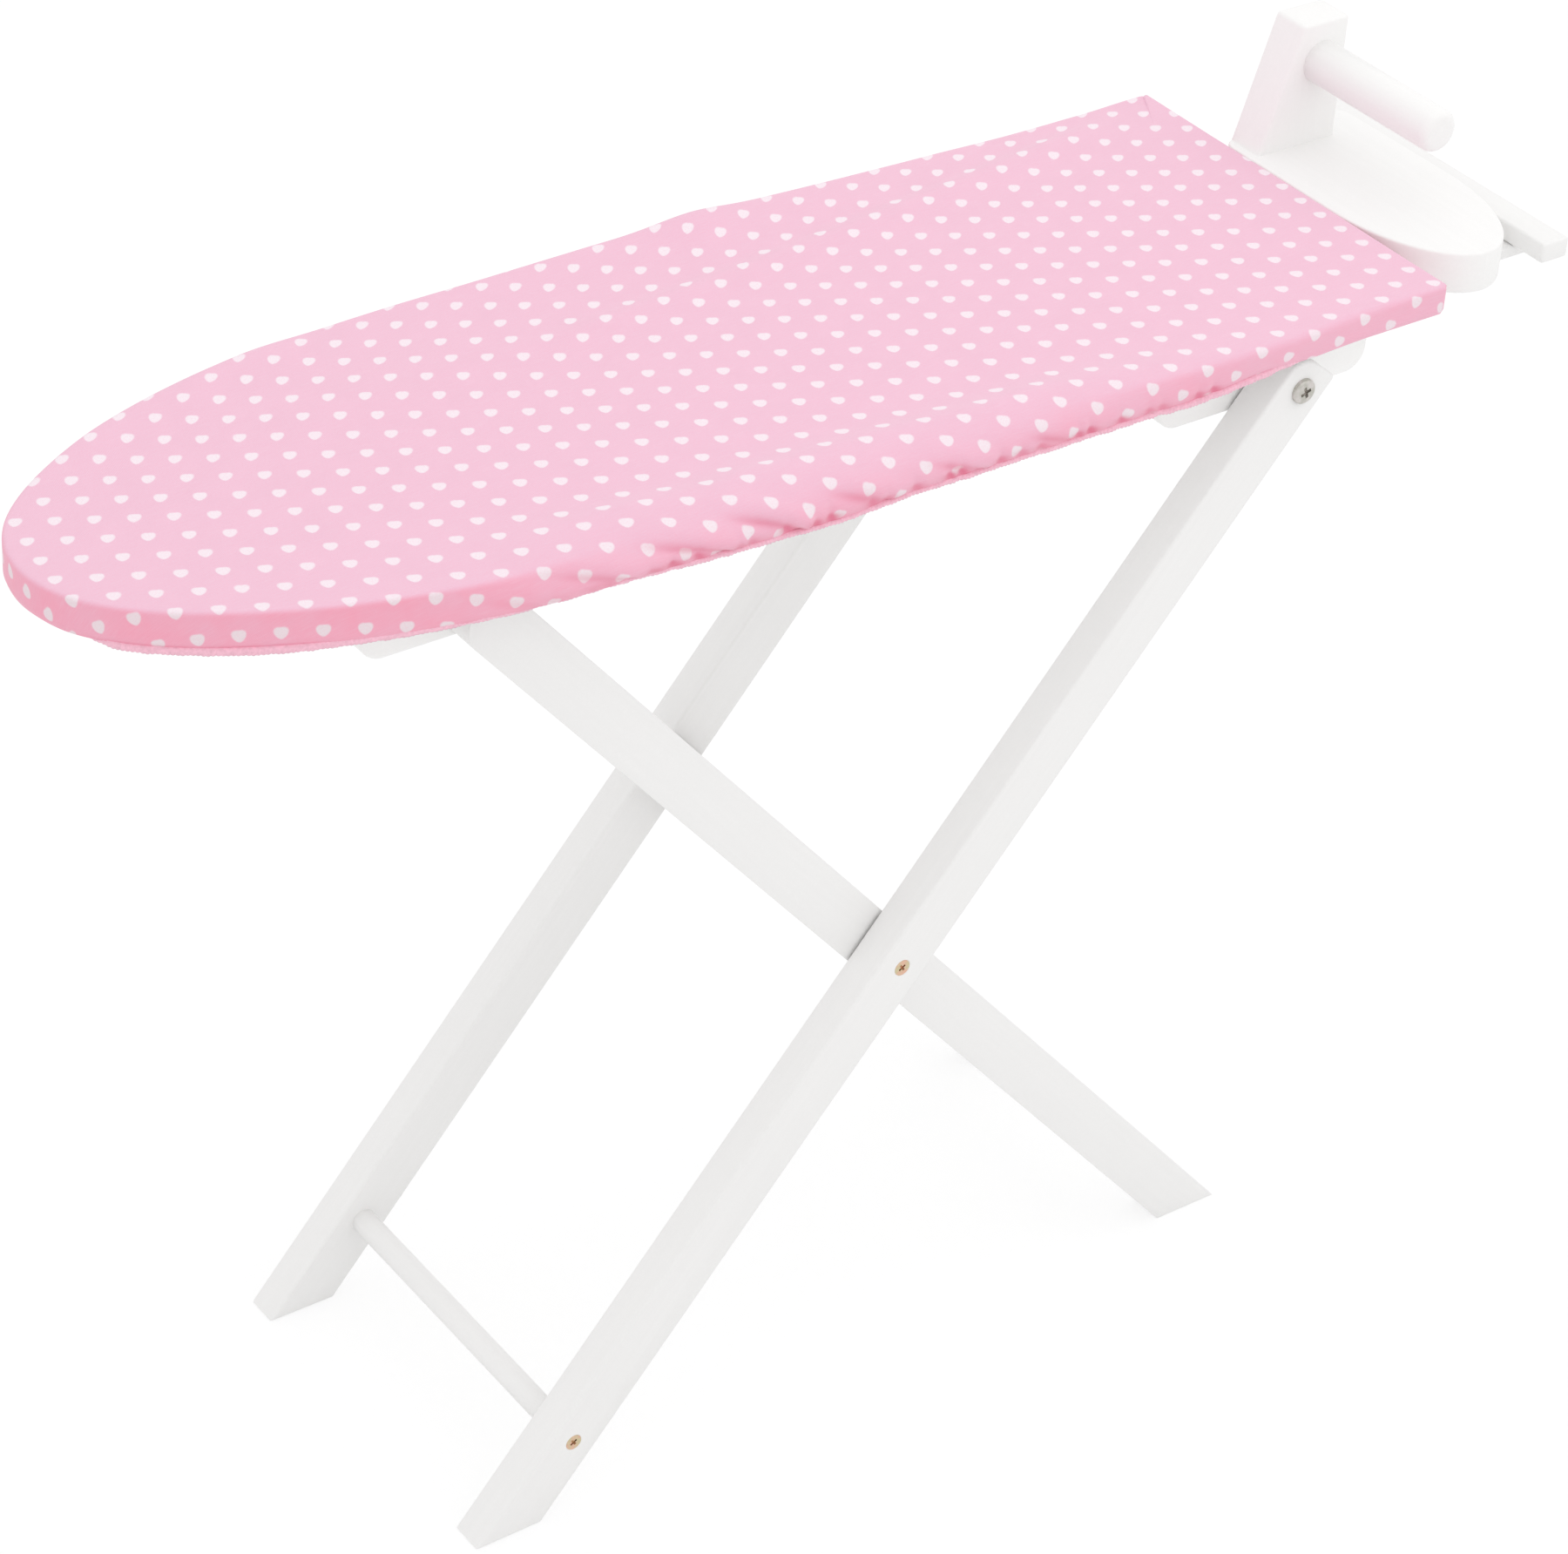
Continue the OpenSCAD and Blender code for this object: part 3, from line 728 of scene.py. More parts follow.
class TOYBOARD_OT_iron(bpy.types.Operator):
    """Model the wooden iron: sole, upright and handle"""

    bl_idname = "toyboard.iron"
    bl_label = "Iron"

    def make_sole(self):
        low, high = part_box("iron_sole")
        half = (high.x - low.x) / 2
        nose_start = low.y + wood().sole_nose
        front = nose_start - half
        sole = add_block("iron_sole_wood", (low.x, front, low.z), high)
        round_edges(sole, lambda a, b: lies(a, b, y=front) and same(a.x, b.x), half * FULL_ROUND, 24)
        edit(sole, "VERT", lambda place: place.y < nose_start - MERGE)
        bpy.ops.transform.resize(
            value=(1, wood().sole_nose / half, 1), center_override=((low.x + high.x) / 2, nose_start, low.z),
        )
        done()
        round_edges(sole, lambda a, b: lies(a, b, y=high.y) and same(a.x, b.x), wood().heel)
        ease_edges(sole, wood().soft_edge, 4)
        for seat in iron_seats():
            countersink(sole, *seat)
        return sole

    def make_upright(self):
        low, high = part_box("iron_upright")
        upright = add_block("iron_upright_wood", low, high)
        edit(upright, "VERT", lambda place: same(place.z, high.z))
        bpy.ops.transform.resize(
            value=(wood().upright_top / (high.x - low.x), 1, 1), center_override=(high.x, low.y, high.z),
        )
        done()
        round_edges(upright, lambda a, b: not lies(a, b, z=low.z), wood().soft_edge, 4)
        shade_smooth(upright)
        return upright

    def make_handle(self):
        handle = dowel("iron_handle_wood", "iron_handle", 64)
        free_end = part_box("iron_handle")[0].y
        round_edges(handle, lambda a, b: lies(a, b, y=free_end), wood().handle_end)
        ease_edges(handle, HANDLE_SEAM, 1, 60)
        return handle

    def execute(self, context):
        # Painted light: the iron gets a brightened copy of the paint
        across = painted_wood("across", IRON_LIGHT_LIFT)
        standing = painted_wood("upright", IRON_LIGHT_LIFT)
        dress(self.make_sole(), across, "iron", "painted_wood", "iron_sole")
        dress(self.make_upright(), standing, "iron", "painted_wood", "iron_upright")
        dress(self.make_handle(), across, "iron", "painted_wood", "iron_handle")
        return {"FINISHED"}


# Cloth cover

COVER_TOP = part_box("cover")[1].z
CLOTH_GAP = 1.9 * MM
HEM_TALL = 3.0 * MM
RIB_PITCH = 1.9 * MM
FRONT_LENGTH = 31 * MM
NOSE_RUN = 620 * MM
SPINE_NOSE = 85 * MM
SPINE_END = 60 * MM
EDGE_START = 0.34
EDGE_END = 0.50
TOP_ROWS = 34
FRONT_ROWS = 30
TUCKS = 26
TUCK_START = -192 * MM
TUCK_PITCH = 13.4 * MM


class Rim:
    """Rim of the board as points with outward normals, going round from the nose along the near side"""

    def __init__(self):
        low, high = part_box("board")
        self.half = (high.y - low.y) / 2
        self.end = high.x
        self.nose = cloth().nose
        self.nose_x = low.x + cloth().nose
        self.corner = cloth().corner
        self.bottom = low.z
        self.spine = (low.x + SPINE_NOSE, high.x - SPINE_END)

    def side(self, way, step):
        """Points of a straight side, towards the square end on the near side and back on the far one"""
        reach = self.end - self.corner - self.nose_x
        count = round(reach / step)
        found = [
            (Vector((self.nose_x + reach * i / count, way * self.half)), Vector((0, way)))
            for i in range(1, count)
        ]
        return found if way < 0 else found[::-1]

    def turn(self, side, first, count=8):
        """Points of one corner at the square end"""
        centre = Vector((self.end - self.corner, side * (self.half - self.corner)))
        angles = [first + math.pi / 2 * i / count for i in range(count + 1)]
        normals = [Vector((math.cos(angle), math.sin(angle))) for angle in angles]
        return [(centre + self.corner * normal, normal) for normal in normals]

    def square_end(self, step):
        """Points of the square end with its corners"""
        reach = self.half - self.corner
        count = round(2 * reach / step)
        straight = [
            (Vector((self.end, reach * (2 * i / count - 1))), Vector((1, 0))) for i in range(1, count)
        ]
        return self.turn(-1, -math.pi / 2) + straight + self.turn(1, 0)

    def nose_curve(self, step):
        """Points of the elliptical nose"""
        count = round(NOSE_RUN / step)
        found = []
        for i in range(count + 1):
            angle = math.pi / 2 + math.pi * i / count
            place = Vector((self.nose_x + self.nose * math.cos(angle), self.half * math.sin(angle)))
            normal = Vector((math.cos(angle) / self.nose, math.sin(angle) / self.half)).normalized()
            found.append((place, normal))
        return found

    def points(self, near, far, end, nose):
        """All rim points, with the spacing of each stretch"""
        return self.side(-1, near) + self.square_end(end) + self.side(1, far) + self.nose_curve(nose)


def smooth(low, high, value):
    """Eased step from 0 at low to 1 at high"""
    share = min(max((value - low) / (high - low), 0.0), 1.0)
    return share * share * (3 - 2 * share)


def stretch(value, start, full, fade, end):
    """1 from full to fade, easing to 0 at start and end"""
    return smooth(start, full, value) * (1 - smooth(fade, end, value))


def hump(value, middle, width):
    """Bell curve"""
    return math.exp(-((value - middle) / width) ** 2)


def wrinkle(x, y, scale, seed):
    """Soft even noise from -1 to 1"""
    return noise.noise(Vector((x / scale, y / scale, seed)))


class Drape:
    """How the cloth lies along the rim: tight, slack, ridged and gathered"""

    def __init__(self, rim):
        self.rim = rim
        # Each tuck has its place along the board and its depth
        self.tucks = [
            (TUCK_START + TUCK_PITCH * k + 4.0 * MM * math.sin(2.4 * k), 0.78 + 0.22 * math.sin(5.1 * k))
            for k in range(TUCKS)
        ]
        # Each swag has its place at the hem, its reach, its start as a share of the front, and its strength
        self.swags = (
            (-0.196, 44 * MM, 0.50, 1.0 * MM),
            (-0.154, 50 * MM, 0.42, 1.5 * MM),
            (-0.110, 50 * MM, 0.40, 1.7 * MM),
            (-0.074, 44 * MM, 0.36, 2.0 * MM),
            (-0.030, 38 * MM, 0.48, 1.2 * MM),
            (0.018, 34 * MM, 0.55, 0.8 * MM),
            (0.066, 32 * MM, 0.60, 0.6 * MM),
        )

    def near(self, normal):
        """1 on the near side, fading out round the nose and at the square end"""
        return smooth(0.80, 0.97, -normal.y)

    def far(self, normal):
        """1 on the far side"""
        return smooth(0.80, 0.97, normal.y)

    def slack(self, place, normal):
        """How loose the near side hangs, from 0 to 1"""
        return self.near(normal) * stretch(place.x, -0.25, -0.14, 0.04, 0.20)

    def lift(self, place, normal):
        """How high the far edge stands off the board"""
        x = place.x
        side = 3.2 * MM * stretch(x, -0.17, 0.01, 0.03, 0.14)
        peak = 3.6 * MM * hump(x, 0.015, 0.022)
        nose = 2.7 * MM * stretch(x, -0.345, -0.295, -0.215, -0.17)
        drawn = 1.1 * MM * smooth(0.14, 0.20, x)
        return smooth(0.15, 0.6, normal.y) * (side + peak + nose - drawn)

    def ridge(self, x, y):
        """Height of the long wrinkle that runs aslant over the far half of the top"""
        off = y - (0.057 + 0.11 * x + 0.16 * x * x)
        sharp = stretch(x, -0.15, -0.02, 0.20, 0.26)
        broad = stretch(x, -0.27, -0.19, -0.12, -0.02)
        steep = hump(off, 0.0, 12 * MM if off < 0 else 4.6 * MM)
        return 2.5 * MM * sharp * steep + 1.2 * MM * broad * hump(off, 4 * MM, 20 * MM)

    def proud(self, normal):
        """How far the padded nose stands out"""
        return 2.4 * MM * smooth(0.3, 0.9, -normal.x) + 0.6 * MM * smooth(0.9, 1.0, normal.x)

    def flare(self, place, normal):
        """How far the top edge stands out on the near side towards the square end"""
        return 2.4 * MM * stretch(place.x, 0.02, 0.15, 0.18, 0.235) * self.near(normal)

    def tip(self, place, normal):
        """1 round the very tip of the nose"""
        return smooth(-0.265, -0.300, place.x) * smooth(-0.72, -0.45, normal.y)

    def hem_show(self, place, normal):
        """1 where the hem shows and 0 where it is folded up behind the skirt"""
        x = place.x
        left = 0.42 + 0.58 * smooth(-0.20, -0.11, x) + 0.53 * smooth(-0.265, -0.300, x)
        return left * (1 - self.tip(place, normal)) * (1 - smooth(0.165, 0.205, x))

    def edge_round(self, place, normal):
        """Radius of the top edge, larger where the cloth is pulled tight"""
        far = 1.9 * self.far(normal) * smooth(0.10, 0.19, place.x)
        near = 1.6 * self.near(normal) * smooth(0.05, 0.17, place.x)
        return (2.0 + (far + near) * (1 - smooth(0.235, 0.268, place.x))) * MM

    def hem_low(self, place, normal):
        """Height of the hem's lower edge"""
        x = place.x
        drop = 0.8 + 4.7 * smooth(0.235, 0.125, x)
        drop -= 1.8 * hump(x, -0.155, 0.042) * self.near(normal)
        drop += self.near(normal) * (1.7 * hump(x, -0.058, 0.026) + 0.9 * hump(x, 0.137, 0.022))
        drop -= 1.5 * self.slack(place, normal)
        drop += 0.9 * smooth(-0.20, -0.28, x) * smooth(0.15, 0.5, abs(normal.y))
        drop -= 2.5 * self.tip(place, normal) * smooth(0.6, 0.2, normal.y)
        wave = 0.4 * wrinkle(x, place.y, 0.045, 8.2) * smooth(0.24, 0.15, x)
        return self.rim.bottom + (0.4 - drop + wave) * MM

    def mouth(self, place, normal):
        """How far the hem's inner side stands off the rim"""
        return CLOTH_GAP + self.proud(normal) - 1.2 * MM + 1.7 * MM * self.slack(place, normal)

    def gathered(self, place, normal):
        """How strongly the hem is gathered, from 0 to 1"""
        near = self.near(normal) * stretch(place.x, -0.22, -0.14, 0.13, 0.20)
        far = 0.7 * self.far(normal) * stretch(place.x, -0.20, -0.10, 0.12, 0.20)
        return near + far

    def tuck(self, x, share):
        """Depth of the nearest tuck at a place and a share of the way down"""
        lean = 5 * MM * (1 - share)
        return max(deep * hump(x + lean, middle, 2.3 * MM) for middle, deep in self.tucks)

    def dash(self, x, share):
        """Shadowed slit that each tuck opens above the hem"""
        lean = 26 * MM * (0.9 - share)
        return max(deep * hump(x + lean, middle, 4.2 * MM) for middle, deep in self.tucks)

    def swag(self, x, share):
        """Push of the oblique folds, and how deep in a fold's hollow the place lies"""
        push = 0.0
        hollow = 0.0
        for hem_x, reach, start, strength in self.swags:
            back = (hem_x - x) / reach
            if back > 1 or back < -0.25:
                continue
            line = 1 - (1 - start) * max(back, 0.0) ** 0.85
            grow = smooth(0.0, 0.55, 1 - back) * (1 - smooth(0.0, 0.25, -back))
            off = (share - line) * FRONT_LENGTH
            push += strength * grow * (hump(off, -5.0 * MM, 5.0 * MM) - 0.75 * hump(off, 1.6 * MM, 2.3 * MM))
            hollow = max(hollow, grow * hump(off, 1.0 * MM, 2.0 * MM))
        return push, hollow

    def crest(self, place, normal):
        """How high the slack cloth rises above the board, and how far in from the edge"""
        x = place.x
        inward = 6.4 + 5.0 * (1 - smooth(0.05, 0.17, x)) + 4.0 * (1 - smooth(-0.05, 0.03, x))
        inward += 4.0 * (1 - smooth(-0.17, -0.09, x)) - 5.6 * smooth(0.235, 0.268, x)
        inward += 1.2 * wrinkle(x, 0.0, 0.03, 2.6) * self.slack(place, normal)
        rise = 4.4 + 0.9 * wrinkle(x, 0.0, 0.035, 4.4)
        return rise * MM * self.slack(place, normal), inward * MM

    def crisp(self, share, inward, low, edge):
        """Tight profile: flat, over a rounded edge, straight down"""
        if share < EDGE_START:
            return Vector((-inward + (inward + CLOTH_GAP - edge) * share / EDGE_START, 0))
        if share < EDGE_END:
            angle = math.pi / 2 * (share - EDGE_START) / (EDGE_END - EDGE_START)
            return Vector((CLOTH_GAP - edge * (1 - math.sin(angle)), -edge * (1 - math.cos(angle))))
        down = (share - EDGE_END) / (1 - EDGE_END)
        return Vector((CLOTH_GAP - 0.9 * MM * smooth(0.80, 1.0, down), -edge + (low + edge) * down))

    def loose(self, share, inward, high, low):
        """Slack profile: a roll that bellies out over the edge"""
        corners = (
            Vector((-inward, high)),
            Vector((-inward * 0.28, high)),
            Vector((CLOTH_GAP + 9.5 * MM, -4.5 * MM)),
            Vector((CLOTH_GAP + 1.2 * MM, low)),
        )
        rest = 1 - share
        weights = (rest ** 3, 3 * rest * rest * share, 3 * rest * share * share, share ** 3)
        return sum((weight * corner for weight, corner in zip(weights, corners)), Vector((0, 0)))


def top_height(drape, at, depth, lift):
    """Height of the cloth's top above its flat level at a depth in from the rim"""
    ripple = 0.16 * MM * wrinkle(at.x, at.y, 0.045, 3.1)
    return ripple + drape.ridge(at.x, at.y) + lift * hump(depth, 0.0, 17 * MM)


def edge_profile(drape, place, normal):
    """Section of the cloth from the flat top over the edge to the hem, as places out from the rim and up"""
    slack = drape.slack(place, normal)
    high, inward = drape.crest(place, normal)
    hem = (HEM_TALL - 1.3 * MM * slack) * drape.hem_show(place, normal)
    low = drape.hem_low(place, normal) + hem - COVER_TOP
    flare = drape.flare(place, normal) * (1 - 0.8 * slack)
    edge = drape.edge_round(place, normal) + 0.5 * drape.lift(place, normal)
    profile = []
    for row in range(FRONT_ROWS + 1):
        share = row / FRONT_ROWS
        tight = drape.crisp(share, inward, low, edge)
        easy = drape.loose(share, inward, high, low)
        outset = drape.proud(normal) + flare * (1 - 0.9 * smooth(0.48, 1.0, share))
        profile.append(tight.lerp(easy, slack) + Vector((outset, 0)))
    return profile


def top_strip(drape, place, normal, begin):
    """Cloth from the board's middle out to where the edge profile begins"""
    rim = drape.rim
    slack = drape.slack(place, normal)
    lift = drape.lift(place, normal)
    start = place + normal * begin.x
    spine = Vector((min(max(place.x, rim.spine[0]), rim.spine[1]), 0))
    room = (spine - start).length
    strip = []
    for row in range(TOP_ROWS):
        back = (1 - row / TOP_ROWS) ** 1.35
        at = start.lerp(spine, back)
        depth = back * room
        rise = begin.y * hump(depth, 0.0, 10.5 * MM)
        dip = -0.5 * MM * slack * hump(depth, 26 * MM, 12 * MM)
        level = COVER_TOP + rise + dip + top_height(drape, at, depth - begin.x, lift)
        strip.append((at.to_3d() + Vector((0, 0, level)), at, 0.0, 0.0))
    return strip


def front_push(drape, place, normal, share, push):
    """How far folds, tucks and wrinkles move the hanging edge out"""
    slack = drape.slack(place, normal)
    gathered = drape.gathered(place, normal)
    pinch = drape.tuck(place.x, share) * gathered
    puff = (1 - pinch) * gathered * 0.6 * MM * hump(share, 0.80, 0.11)
    pull = pinch * 1.1 * MM * smooth(0.62, 0.90, share) * (1 - 0.8 * smooth(0.92, 1.0, share))
    down = share * FRONT_LENGTH
    grain = wrinkle(place.x + 0.3 * down, place.y + down, 0.018, 5.5)
    creased = (0.10 + 0.45 * slack) * MM * grain * smooth(0.1, 0.4, share) * (1 - share)
    return slack * push + puff - pull + creased


def front_tones(drape, place, normal, share, hollow):
    """How much painted shade the hanging edge shows: the skirt's shaded pink, and the darker shade in folds, tucks
    and above the hem
    """
    slack = drape.slack(place, normal)
    gathered = drape.gathered(place, normal)
    # Painted shade on the hanging edge: where it hangs slack it darkens towards the hem in uneven patches; where
    # it is tight the whole band below the edge darkens, less so towards the near square end
    patchy = 1 + 0.5 * wrinkle(place.x, share * 0.02, 0.022, 7.7)
    deep = slack * patchy * (0.1 + 0.55 * smooth(0.30, 0.95, share)) * smooth(0.0, 0.4, share)
    pale = 0.45 * smooth(0.10, 0.19, place.x) * drape.near(normal)
    deep += smooth(0.36, 0.50, share) * (1 - slack) * (1 - pale)
    # Painted shade in the folds: slits above the hem at each tuck, a darker line along the hem's top, and the
    # hollows of the oblique folds
    slit = drape.dash(place.x, share) * smooth(0.80, 0.90, share)
    hem_shadow = 0.6 * drape.hem_show(place, normal) * smooth(0.94, 1.0, share) * (1 - gathered)
    pleat = gathered * (0.12 * smooth(0.84, 0.96, share) + 0.92 * slit)
    return deep, max(0.55 * slack * hollow, pleat, hem_shadow)


def front_strip(drape, place, normal, profile):
    """Cloth over the edge and down to the hem"""
    lift = drape.lift(place, normal)
    run = profile[0].x
    strip = []
    for row, spot in enumerate(profile):
        share = row / FRONT_ROWS
        before = profile[max(row - 1, 0)]
        after = profile[min(row + 1, FRONT_ROWS)]
        run += (spot - before).length
        slope = (after - before).normalized()
        outward = Vector((-slope.y, slope.x))
        push, hollow = drape.swag(place.x, share)
        moved = spot + outward * front_push(drape, place, normal, share, push)
        at = place + normal * moved.x
        fade = 1 - smooth(0.36, 0.85, share)
        level = COVER_TOP + moved.y + fade * top_height(drape, at, max(-moved.x, 0.0), lift)
        tones = front_tones(drape, place, normal, share, hollow)
        strip.append((at.to_3d() + Vector((0, 0, level)), place + normal * run, *tones))
    return strip


def cover_strip(drape, place, normal):
    """One strip of cloth from the board's middle to the hem: points, flat places and two tones of painted shade"""
    profile = edge_profile(drape, place, normal)
    return top_strip(drape, place, normal, profile[0]) + front_strip(drape, place, normal, profile)


def cloth_flat(x, y):
    """The cloth's own flat coordinates, pulled slightly askew on the board"""
    return (
        x - 0.123 * y - 1.19 * y * y + 0.0454,
        y - 0.0204 * x + 0.038 * x * x - 0.0209,
    )


def skin(build, grid, closed):
    """Faces over a ring of strips, each strip closed to a loop or left open"""
    for here, there in zip(grid, grid[1:] + grid[:1]):
        for k in range(len(here) if closed else len(here) - 1):
            after = (k + 1) % len(here)
            build.faces.new((here[k], here[after], there[after], there[k])).smooth = True


def add_cloth(name, build):
    """A finished mesh as a piece of the scene"""
    bmesh.ops.recalc_face_normals(build, faces=build.faces)
    mesh = bpy.data.meshes.new(name)
    build.to_mesh(mesh)
    build.free()
    piece = bpy.data.objects.new(name, mesh)
    bpy.context.scene.collection.objects.link(piece)
    return piece


def make_cover():
    """The fitted cover as one sheet of cloth, with its flat coordinates and its two tones of painted shade"""
    rim = Rim()
    drape = Drape(rim)
    build = bmesh.new()
    uv_layer = build.loops.layers.uv.new("cloth")
    # These two layers carry painted shade: the skirt's shaded pink and the darker shade in folds and tucks
    skirt_shade_layer = build.verts.layers.float.new("skirt")
    shade_layer = build.verts.layers.float.new("crease_shade")
    flats = {}
    grid = []
    for place, normal in rim.points(1.2 * MM, 2.0 * MM, 3.0 * MM, 3.0 * MM):
        strip = []
        for point, flat, deep, shade in cover_strip(drape, place, normal):
            vert = build.verts.new(point)
            vert[skirt_shade_layer] = deep
            vert[shade_layer] = shade
            flats[vert] = cloth_flat(flat.x, flat.y)
            strip.append(vert)
        grid.append(strip)
    skin(build, grid, False)
    for face in build.faces:
        for loop in face.loops:
            loop[uv_layer].uv = flats[loop.vert]
    bmesh.ops.remove_doubles(build, verts=[strip[0] for strip in grid], dist=MERGE)
    return add_cloth("cover_cloth", build)


def hem_section(drape, place, normal, run):
    """One section through the overlocked hem, a ribbed bead with a frilly lower edge"""
    x, y = place
    low = drape.hem_low(place, normal)
    pinch = drape.tuck(x, 1.0) * drape.gathered(place, normal)
    rib = abs(math.sin(math.pi * run / RIB_PITCH))
    frill = 0.45 * MM * wrinkle(x, y, 0.007, 1.7) + 0.35 * MM * wrinkle(x, y, 0.021, 6.1)
    ragged = 0.55 * MM * wrinkle(x, y, 0.004, 9.4)
    mouth = drape.mouth(place, normal)
    out = mouth + 1.5 * MM + frill + 0.35 * MM * rib - 0.5 * MM * pinch
    tall = HEM_TALL + 0.5 * MM - 0.9 * MM * drape.slack(place, normal)
    section = (
        (mouth - 0.2 * MM, tall),
        (mouth + 0.5 * MM, tall - 0.1 * MM),
        (out - 0.3 * MM, tall - 0.7 * MM),
        (out, tall * 0.55),
        (out + 0.05 * MM, tall * 0.30),
        (out - 0.35 * MM, 0.25 * MM + ragged - 0.25 * MM * rib),
        (mouth + 0.55 * MM + frill, ragged * 0.7 + 0.1 * MM),
        (mouth + frill * 0.6, tall * 0.35),
        (mouth - 0.35 * MM, tall * 0.75),
    )
    show = drape.hem_show(place, normal)
    points = []
    for off, level in section:
        hidden = 0.1 * MM + 0.3 * (off - mouth)
        at = place + normal * (hidden + (off - hidden) * show)
        points.append(at.to_3d() + Vector((0, 0, low + level + 0.6 * MM * (1 - show))))
    return points


def make_hem():
    """The overlocked elastic hem as a ribbed bead round the cover's lower edge"""
    rim = Rim()
    drape = Drape(rim)
    build = bmesh.new()
    points = rim.points(0.5 * MM, 0.6 * MM, 0.6 * MM, 0.6 * MM)
    before = points[0][0]
    run = 0.0
    grid = []
    for place, normal in points:
        run += (place - before).length
        before = place
        grid.append([build.verts.new(point) for point in hem_section(drape, place, normal, run)])
    skin(build, grid, True)
    return add_cloth("cover_hem_cloth", build)


class TOYBOARD_OT_cover(bpy.types.Operator):
    """Model the heart print cover with its hem"""

    bl_idname = "toyboard.cover"
    bl_label = "Cover"

    def execute(self, context):
        cover = make_cover()
        dress(cover, printed_cotton(), "board", "cover_cloth", "cover")
        hem = make_hem()
        dress(hem, hem_thread(), "board", "hem_cloth", "cover_hem")
        return {"FINISHED"}


# Bolts and screws

RECESS_SHARE = 0.64
BLADE_SHARE = 0.13
BLADE_TAPER = (0.6, 0.7, 1)
BOLT_RECESS = 1.7 * MM
BOLT_TURN = 0.35
SCREW_RECESS = 1.5 * MM
SCREW_TURN = 0.6
DOME_SHARE = 0.72
COLLAR = 0.05 * MM
HEAD_EDGE = 0.3 * MM
POINT_LENGTH = 6 * MM
POINT_SHARE = 0.15
SUNK = 0.25 * MM
PLATES = {"zinc_steel": zinc_plate, "brass_screw": yellow_plate}


def cut_recess(piece, head, deep, turn):
    """Cut a cross recess into a head whose face is at the origin"""
    across = head * RECESS_SHARE
    wide = across * BLADE_SHARE
    for quarter in (0, 1):
        blade = add_block("blade", (-across / 2, -wide, -deep), (across / 2, wide, 2 * deep))
        edit(blade, "VERT", lambda place: place.z < 0)
        bpy.ops.transform.resize(value=BLADE_TAPER, center_override=(0, 0, -deep))
        done()
        blade.rotation_euler = (0, 0, turn + quarter * math.pi / 2)
        apply_place(blade)
        cut_away(piece, blade)
    shade_smooth(piece)


def extend_shank(piece, back, radius, steps):
    """Pull the back of a head out into a shank, each step a length and a radius"""
    for depth, next_radius in steps:
        edit(piece, "FACE", lambda middle: same(middle.z, back))
        bpy.ops.mesh.extrude_region_move(TRANSFORM_OT_translate={"value": (0, 0, -depth)})
        share = next_radius / radius
        bpy.ops.transform.resize(value=(share, share, 1), center_override=(0, 0, 0))
        done()
        radius = next_radius
        back -= depth


def pan_bolt():
    """Pivot bolt with a domed head whose underside is at the origin, shank down"""
    settings = hardware()
    radius = settings.bolt_head / 2
    shank = settings.bolt / 2
    tall = settings.bolt_head_height
    bolt = add_rod("bolt", (0, 0, 0), (0, 0, tall), radius, 56)
    round_edges(bolt, lambda a, b: lies(a, b, z=tall), tall * DOME_SHARE)
    extend_shank(bolt, 0.0, radius, ((COLLAR, shank), (settings.bolt_length - COLLAR, shank)))
    bolt.location = (0, 0, -tall)
    apply_place(bolt)
    cut_recess(bolt, settings.bolt_head, BOLT_RECESS, BOLT_TURN)
    bolt.location = (0, 0, tall)
    apply_place(bolt)
    return bolt


def wood_screw(length):
    """Countersunk wood screw with its face at the origin, shank down to a point"""
    settings = hardware()
    radius = settings.screw_head / 2
    shank = settings.screw / 2
    cone = radius - shank
    screw = add_rod("screw", (0, 0, -HEAD_EDGE), (0, 0, 0), radius, 48)
    steps = (
        (cone - HEAD_EDGE, shank),
        (length - cone - POINT_LENGTH, shank),
        (POINT_LENGTH, shank * POINT_SHARE),
    )
    extend_shank(screw, -HEAD_EDGE, radius, steps)
    cut_recess(screw, settings.screw_head, SCREW_RECESS, SCREW_TURN)
    return screw


def drive(template, name, seat, body, slot, node, sunk=SUNK):
    """Copy a fastener to its seat"""
    face, outward = seat
    deselect()
    piece = template.copy()
    piece.data = template.data.copy()
    piece.name = piece.data.name = name
    bpy.context.scene.collection.objects.link(piece)
    piece.location = face - outward * sunk
    piece.rotation_euler = facing(outward)
    apply_place(piece)
    dress(piece, PLATES[slot](), body, slot, node)


